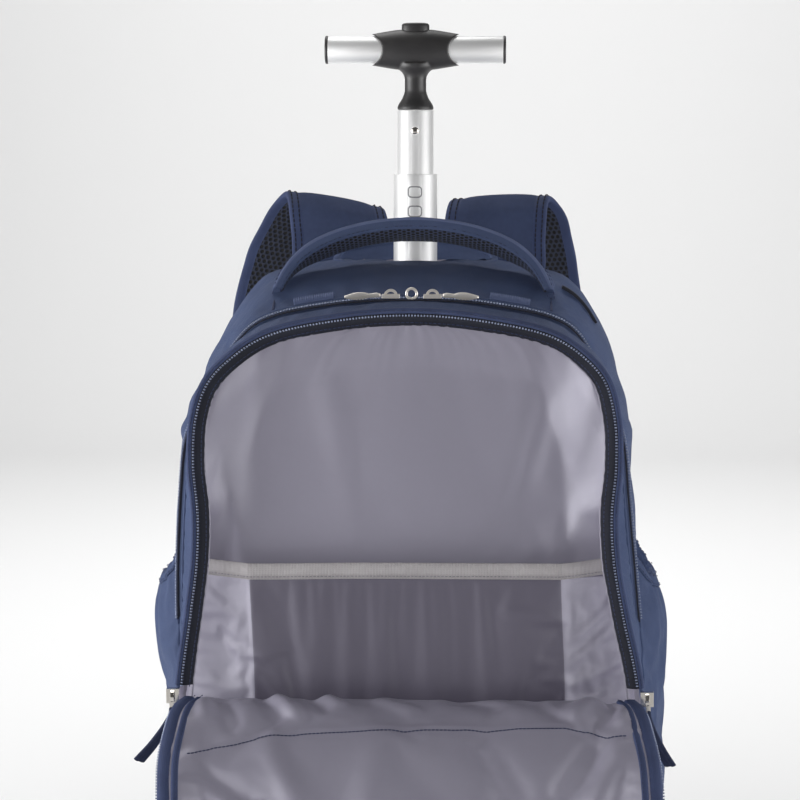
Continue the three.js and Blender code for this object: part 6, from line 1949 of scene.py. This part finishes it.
def makeGrip(p):
    place = Vector((0, pole["y"], p["z"]))
    halfX, halfY, halfZ = p["hub"]
    # barrel
    xs = np.linspace(-1, 1, 29)
    sizes = tableAt(p["swell"], xs)
    angles = np.linspace(0, 2 * math.pi, 49)[:-1]
    barrel = np.stack([np.broadcast_to(xs[:, None] * halfX, (29, 48)),
                       np.maximum(sizes * halfY, p["barRadius"] + 0.001)[:, None] * np.cos(angles)[None],
                       (sizes * halfZ)[:, None] * np.sin(angles)[None]], 2)
    ends = [np.repeat(row.mean(0)[None, None], 48, axis=1) for row in (barrel[0], barrel[-1])]
    body = gridMesh("gripHub", np.concatenate([ends[0], barrel, ends[1]]), closed=True)
    # neck
    high = np.array([z for _, z in p["neck"]])
    fine = np.linspace(0, high[-1], 34)
    radius = tableAt([(z, r) for r, z in p["neck"]], fine) * pole["innerRadius"]
    profile = [(1e-5, 0.0003 - p["height"]),
               *[(r, -p["height"] + 0.0003 + z * p["height"]) for r, z in zip(radius, fine)],
               (1e-5, -p["height"] + fine[-1] * p["height"])]
    neck = turnedMesh("neck", profile, 48)
    hub = newObject("gripHub", body, ["blackPlastic"], None)
    mend(body, merge=0.000002, holes=True)
    part = bpy.data.objects.new("neck", neck)
    bpy.context.collection.objects.link(part)
    joining = hub.modifiers.new("join", "BOOLEAN")
    joining.operation = "UNION"
    joining.object = part
    applyModifiers(hub)
    bpy.data.objects.remove(part)
    for side in (-1, 1):
        radius, centre = p["scallop"]
        scallop = sweep([(side * centre, -0.03, 0), (side * centre, 0.03, 0)], (1, 0, 0),
                        roundSection(radius, radius, 64), name="scallop")
        cutWith(hub, scallop)
    remesh = hub.modifiers.new("remesh", "REMESH")
    remesh.mode = "VOXEL"
    remesh.voxel_size = 0.00062
    softening = hub.modifiers.new("soften", "SMOOTH")
    softening.factor = 0.5
    softening.iterations = 9
    applyModifiers(hub)
    room = p["barRadius"] + 0.0003
    for side in (-1, 1):
        start = side * (p["barStart"] - 0.0003)
        cutWith(hub, sweep([(start, 0, 0), (start + side * halfX, 0, 0)], (0, 1, 0), roundSection(room, room, 64),
                           name="room"))
    w, d, rise = p["button"]
    cutWith(hub, sweep([(0, 0, halfZ - 0.0103), (0, 0, halfZ + 0.01)], (1, 0, 0),
                       roundSection(w + 0.0003, d + 0.0003, 48), name="room"))
    hub.data.transform(Matrix.Translation(place))
    hub.data.shade_smooth()
    hub.data.set_sharp_from_angle(angle=math.radians(40))
    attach(hub, "upper_pole")
    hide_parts("grip_hub")
    # bars and caps
    r, end = p["barRadius"], p["halfLength"] - p["cap"] - 0.0003
    for side, name in sides:
        low, high = p["barStart"], end
        profile = [(1e-5, low), (r - 0.0004, low), (r, low + 0.0004), (r, high - 0.0005),
                   (r - 0.0002, high - 0.0001), (r - 0.0006, high), (1e-5, high)]
        bar = turned(f"gripBar{name.title()}", [(a, side * b) for a, b in profile], place, "aluminium", "upper_pole",
                     72, "x")
        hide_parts(f"grip_bar_{name}")
        low, high = p["halfLength"] - p["cap"], p["halfLength"]
        profile = [(1e-5, low), (r + 0.0002, low), (r + 0.0003, low + 0.0003), (r + 0.0003, high - 0.0009),
                   (r - 0.0002, high - 0.0002), (r - 0.0012, high), (1e-5, high)]
        cap = turned(f"barCap{name.title()}", [(a, side * b) for a, b in profile], place, "blackPlastic",
                     "upper_pole", 72, "x")
        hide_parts(f"bar_cap_{name}")
    # button
    top = halfZ + rise
    rows = []
    for z, size in ((halfZ - 0.007, 0.02), (halfZ - 0.007, 0.97), (halfZ - 0.0065, 1), (top - 0.0022, 1),
                    (top - 0.0012, 0.97), (top - 0.0005, 0.87), (top - 0.0001, 0.66), (top, 0.4), (top, 0.02)):
        outline = roundSection(w * size, d * size, 48, 2.3)
        rows.append(np.column_stack([outline, np.full(48, z)]))
    mesh = gridMesh("releaseButton", np.array(rows), closed=True)
    mend(mesh, merge=0.000002, holes=True)
    mesh.transform(Matrix.Translation(place))
    button = newObject("releaseButton", mesh, ["blackPlastic"], "button")
    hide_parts("release_button")


# Base, wheels and feet

wheels = {
    "radius": 0.030,
    "width": 0.024,
    "x": bagForm["halfWidth"] - 0.032,
    "y": backY - 0.007,
    "rim": 0.022,
    "axle": 0.003,
    "treads": 3,
    "spokes": 6,
}


def makeBase(p):
    roundedCopy("baseTray", "base_tray", 0.0016, "blackPlastic", segments=3)
    for side, name in sides:
        roundedCopy(f"foot{name.title()}", f"foot_{name}", 0.0016, "rubber", segments=3)
        makeWheel(p, side, name)


def makeWheel(p, side, name):
    place = (side * p["x"], p["y"], p["radius"])
    body = f"wheel_{name}"
    half, r, rim = p["width"] / 2 - 0.001, p["radius"], p["rim"]
    face = [(rim, -half), (r - 0.0034, -half), (r - 0.0012, -half + 0.0012), (r - 0.0001, -half + 0.0034)]
    tread = []
    for k in range(p["treads"]):
        x = (k - (p["treads"] - 1) / 2) * 0.0052
        tread += [(r, x - 0.0011), (r - 0.0011, x - 0.0006), (r - 0.0011, x + 0.0006), (r, x + 0.0011)]
    profile = [*face, *tread, *[(a, -b) for a, b in face[::-1]]]
    tyre = turned(f"wheelTyre{name.title()}", profile, place, "rubber", body, 96, "x", 40)
    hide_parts(f"wheel_tyre_{name}")
    a, half, web = p["axle"], p["width"] / 2, 0.003
    outer = rim - 0.0003
    profile = [
        (a + 0.0003, -half), (a + 0.0045, -half), (a + 0.005, -half + 0.0005), (a + 0.006, -web), (rim - 0.0045,
                                                    -web), (outer - 0.0006, -half + 0.002),
        (outer, -half + 0.0026), (outer, half - 0.0026), (outer - 0.0006, half - 0.002), (rim - 0.0045,
                                                    half - 0.0026), (a + 0.0065, half - 0.003),
        (a + 0.005, half - 0.0004), (a + 0.0045, half), (a + 0.0003, half),
    ]
    hub = turnedMesh(f"wheelRim{name.title()}", profile, 96, "x")
    # raised spokes on both faces
    pieces = bmesh.new()
    pieces.from_mesh(hub)
    for k in range(p["spokes"]):
        angle = 2 * math.pi * (k + 0.5) / p["spokes"]
        for face, depth in ((-1, web - 0.0004), (1, half - 0.0034)):
            low, high = a + 0.0045, rim - 0.0028
            corners = [(face * depth, low, -0.0016), (face * (half - 0.0012), low, -0.0011),
                       (face * (half - 0.0012), low, 0.0011), (face * depth, low, 0.0016)]
            far = [(face * depth, high, -0.0026), (face * (half - 0.0022), high, -0.0018),
                   (face * (half - 0.0022), high, 0.0018), (face * depth, high, 0.0026)]
            turn = Matrix.Rotation(angle, 3, "X")
            verts = [pieces.verts.new(turn @ Vector(c)) for c in (*corners, *far)]
            for q in ((0, 1, 2, 3), (7, 6, 5, 4), (0, 4, 5, 1), (1, 5, 6, 2), (2, 6, 7, 3), (3, 7, 4, 0)):
                pieces.faces.new([verts[i] for i in q])
    bmesh.ops.recalc_face_normals(pieces, faces=pieces.faces)
    pieces.to_mesh(hub)
    pieces.free()
    hub.transform(Matrix.Translation(place))
    made = newObject(f"wheelRim{name.title()}", hub, ["greyPlastic"], body)
    hub.set_sharp_from_angle(angle=math.radians(32))
    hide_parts(f"wheel_rim_{name}")
    low, high = (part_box(f"axle_{name}")[k].x - place[0] for k in (0, 1))
    soft = 0.0006
    profile = [(1e-5, low), (a - soft, low), (a, low + soft), (a, high - soft), (a - soft, high), (1e-5, high)]
    axle = turned(f"axle{name.title()}", profile, place, "chrome", "bag", 40, "x")
    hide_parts(f"axle_{name}")


# Sliders, pulls and trims

pulls = {
    "reach": {"left": (0.026, 0.036, 0.010), "right": (0.018, 0.038, 0.016)},
    "bail": 0.013,
    "leaf": [(0, 0.0012), (0.12, 0.0022), (0.3, 0.0017), (0.42, 0.0030), (0.62, 0.0034), (0.85, 0.0022), (1, 0.0007)],
    "section": [(-1, -0.0006), (-0.92, 0.0009), (-0.5, 0.0016), (-0.12, 0.0006), (0.12, 0.0006), (0.5, 0.0016),
                (0.92, 0.0009), (1, -0.0006), (0.5, -0.0012), (-0.5, -0.0012)],
}


def makeSliders(p):
    for side, name in sides:
        roundedCopy(f"rimSlider{name.title()}", f"slider_{name}", 0.0006, "chrome", segments=3)
        reach, drop, back = p["reach"][name]
        z = foldHeight + 0.001
        x = float(halfWidthAt(rimY, z)) + 0.0025
        y = rimY - 0.005
        low = z - p["bail"] - 0.0013
        route = [(x + 0.0006, y, low + 0.0052), (x + 0.001, y, low),
                 (x + 0.22 * reach, y + 0.3 * back, low - 0.26 * drop),
                 (x + 0.6 * reach, y + 0.7 * back, low - 0.66 * drop), (x + reach, y + back, low - drop)]
        line = curveThrough([(side * a, b, c) for a, b, c in route], 40)
        across = unit((0.5 * side, -0.6, 0.4))
        half = 0.0030 + 0.0024 * np.linspace(0, 1, 40)
        mesh = sweep(line, across, flipFor(line, across, np.broadcast_to((0, -1, 0.4), line.shape), p["section"]),
                     grow=np.stack([half, np.ones(40)], 1), name="puller")
        puller = newObject(f"puller{name.title()}", mesh, ["darkTape"])
        rounded(puller)
        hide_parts(f"puller_{name}")
    for side, name in sides:
        roundedCopy(f"topSlider{name.title()}", f"top_slider_{name}", 0.0006, "brightMetal", segments=3)
        low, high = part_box(f"pull_tab_{name}")
        near, far = sorted((abs(low.x), abs(high.x)))
        middle = (low + high) / 2
        line = np.linspace((side * near, middle.y - 0.0005, middle.z + 0.001),
                           (side * far, middle.y - 0.002, middle.z - 0.0002), 26)
        width = tableAt(p["leaf"], np.linspace(0, 1, 26))
        leaf = sweep(line, (0, 0.62, -0.78),
                     [(-1, -0.0003), (-0.8, -0.0007), (0.8, -0.0007), (1, -0.0003), (1, 0.0003), (0.8, 0.0007),
                      (0.45, 0.0011), (-0.45, 0.0011), (-0.8, 0.0007), (-1, 0.0003)],
                     grow=np.stack([width, np.ones(26)], 1), name="pullTab")
        tab = newObject(f"pullTab{name.title()}", leaf, ["brightMetal"])
        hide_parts(f"pull_tab_{name}")
    low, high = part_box("lock_ring")
    centre = (low + high) / 2
    r = (high.z - low.z) / 2 - 0.001
    angles = np.linspace(0, 2 * math.pi, 65)[:-1]
    line = np.stack([centre.x + r * np.cos(angles), np.full(64, centre.y), centre.z + r * np.sin(angles)], 1)
    ring = newObject("lockRing",
                     sweep(line, (0, 1, 0), roundSection(0.00095, 0.00095, 14), closed=True, name="lockRing"),
                     ["brightMetal"])
    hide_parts("lock_ring")


def makeTrims():
    for side, name in sides:
        low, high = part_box(f"zip_garage_{name}")
        near, far = sorted((abs(low.x), abs(high.x)))
        y0 = low.y
        loop = loopAt(y0 + 0.004)
        half = loop[: len(loop) // 4]
        counts = np.interp((near, far), half[:, 0], np.arange(len(half)))
        rows = []
        for k, (dy, out) in enumerate(((0.0002, 0.0012), (0.0, 0.0040), (0.0008, 0.0056), (0.0026, 0.0062),
                                       (0.0044, 0.0056), (0.0062, 0.0042), (0.0078, 0.0026), (0.0082, 0.0010))):
            line = between(loopAt(y0 + dy, out + 0.0012), *(side * c for c in counts), 60)
            rib = 0.0006 * np.sin(np.arange(60) * 1.9) * (1 if 0 < k < 7 else 0)
            line[:, 2] += rib
            rows.append(line)
        made = newObject(f"zipGarage{name.title()}", gridMesh("zipGarage", np.array(rows)), ["pipingTape"])
        thicken(made, 0.0008, outside=awayFrom(made, (0, 0, 1)), rounds=1)
        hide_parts(f"zip_garage_{name}")
    # the seam between the bag's sides and its back
    foot = countAt(backY, mainCloth["wellTop"] + 0.004)
    line = between(loopAt(backY - 0.0004, 0.0006), -foot, foot, 400)
    newObject("backSeam", sweep(line, (0, 1, 0), roundSection(0.0024, 0.0019, 10), name="backSeam"), ["navyTape"])
    low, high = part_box("shoulder_tab")
    middle = (low.y + high.y) / 2
    first, last = countAt(middle, high.z), countAt(middle, low.z)
    line = between(loopAt(middle, 0.0042), first, last, 40)
    outward = between(outwardAt(middle), first, last, 40)
    section = flipFor(line, (0, 1, 0), outward,
                      [(-0.0046, -0.0008), (-0.0048, 0.0006), (-0.0042, 0.0014), (0.0042, 0.0014), (0.0048, 0.0006),
                       (0.0046, -0.0008)])
    tab = newObject("shoulderTab", sweep(line, (0, 1, 0), section, name="shoulderTab"), ["blackTape"])
    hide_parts("shoulder_tab")


# Padded back panel, quilted in rows

backPad = {
    "depth": 0.012,
    "rows": 74,
    "columns": 60,
    "channels": [0.118, 0.205, 0.292, 0.379],
    "spine": 0.026,
    "channelWidth": 0.006,
    "channelDepth": 0.0062,
    "pressure": 0.5,
    "spare": 0.01,
    "cap": 0.004,
}


def startBackPad(p):
    edge = loopAt(backY + 0.0004, -0.001)
    grid, share, reach = sheetAcross(edge, 4, p["rows"], p["columns"])
    x, z = grid[..., 0], grid[..., 2]
    toEdge = np.minimum(reach * (1 - np.abs(share))[None], np.minimum(z - z.min(), z.max() - z) + 0.0006)
    crown = p["depth"] * smooth((toEdge + 0.004) / 0.022) ** 0.7
    line = np.min([np.abs(z - c + 0.03 * (np.abs(x) / 0.1) ** 2) for c in p["channels"]], axis=0)
    line = np.minimum(line, np.abs(np.abs(x) - p["spine"]) + 0.0012)
    quilt = p["channelDepth"] * np.exp(-((line / p["channelWidth"]) ** 2)) * smooth(toEdge / 0.02)
    grid[..., 1] = backY + 0.0004 + np.maximum(crown - quilt, 0.0)
    pinned = np.zeros(x.shape)
    pinned[0] = pinned[-1] = pinned[:, 0] = pinned[:, -1] = 1
    pinned = np.maximum(pinned, 0.85 * np.exp(-((line / 0.004) ** 2)))
    return waitForCloth("backPad", grid, pinned, p["spare"], p["cap"], p["pressure"])


def finishBackPad(p, grid):
    # wheels' wells take the lower corners
    keep = ~((np.abs(grid[..., 0]) > mainCloth["wellInner"]) & (grid[..., 2] < mainCloth["wellTop"]))
    # the sheet of mesh closes onto the bag's back, so that the pad is one body
    front = grid.copy()
    front[..., 1] = backY + 0.0001
    mesh = bpy.data.meshes.new("backPad")
    outer = gridMesh("backPadOuter", grid, keepFaces=facesOf(keep))
    inner = gridMesh("backPadInner", front, keepFaces=facesOf(keep), flip=True)
    both = bmesh.new()
    both.from_mesh(outer)
    both.from_mesh(inner)
    rims = [e for e in both.edges if e.is_boundary]
    bmesh.ops.bridge_loops(both, edges=rims)
    bmesh.ops.recalc_face_normals(both, faces=both.faces)
    both.to_mesh(mesh)
    both.free()
    made = newObject("backPad", mesh, ["spacerMesh"])
    rounded(made)
    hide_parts("back_panel")


# Everything in order: sheets are laid out, settled together, and then finished

grids = {
    "main": startMainCloth(mainCloth),
    "front": startFrontCloth(frontCloth),
    "bucket": startBucket(bucket),
    "lining": startLining(lining),
    "sleeve": startSleeve(sleeve),
    "flap": startFlap(flap),
    "left": startPocket(pockets, "left"),
    "right": startPocket(pockets, "right"),
    "back": startBackPad(backPad),
}
settleCloth(clothSettings)
finishMainCloth(mainCloth, grids["main"])
finishFrontCloth(frontCloth, grids["front"])
finishBucket(bucket, grids["bucket"])
finishLining(lining, grids["lining"])
finishSleeve(sleeve, grids["sleeve"])
finishFlap(flap, grids["flap"])
print("cloth pieces made")
makeZips(zips)
for side in ("left", "right"):
    finishPocket(pockets, side, grids[side])
finishBackPad(backPad, grids["back"])
print("zips, pockets and back made")
makeHandle(handle)
for pose in straps["poses"]:
    makeWebbing(webbing, pose, makeStrap(straps, pose))
    roundedCopy(f"strapBuckle{pose['name'].title()}", f"strap_buckle_{pose['name']}", 0.0007, "blackPlastic",
                segments=3)
print("handle and straps made")
makePole(pole)
makeGrip(grip)
makeBase(wheels)
makeSliders(pulls)
makeTrims()
print("pole, grip, base and trims made")
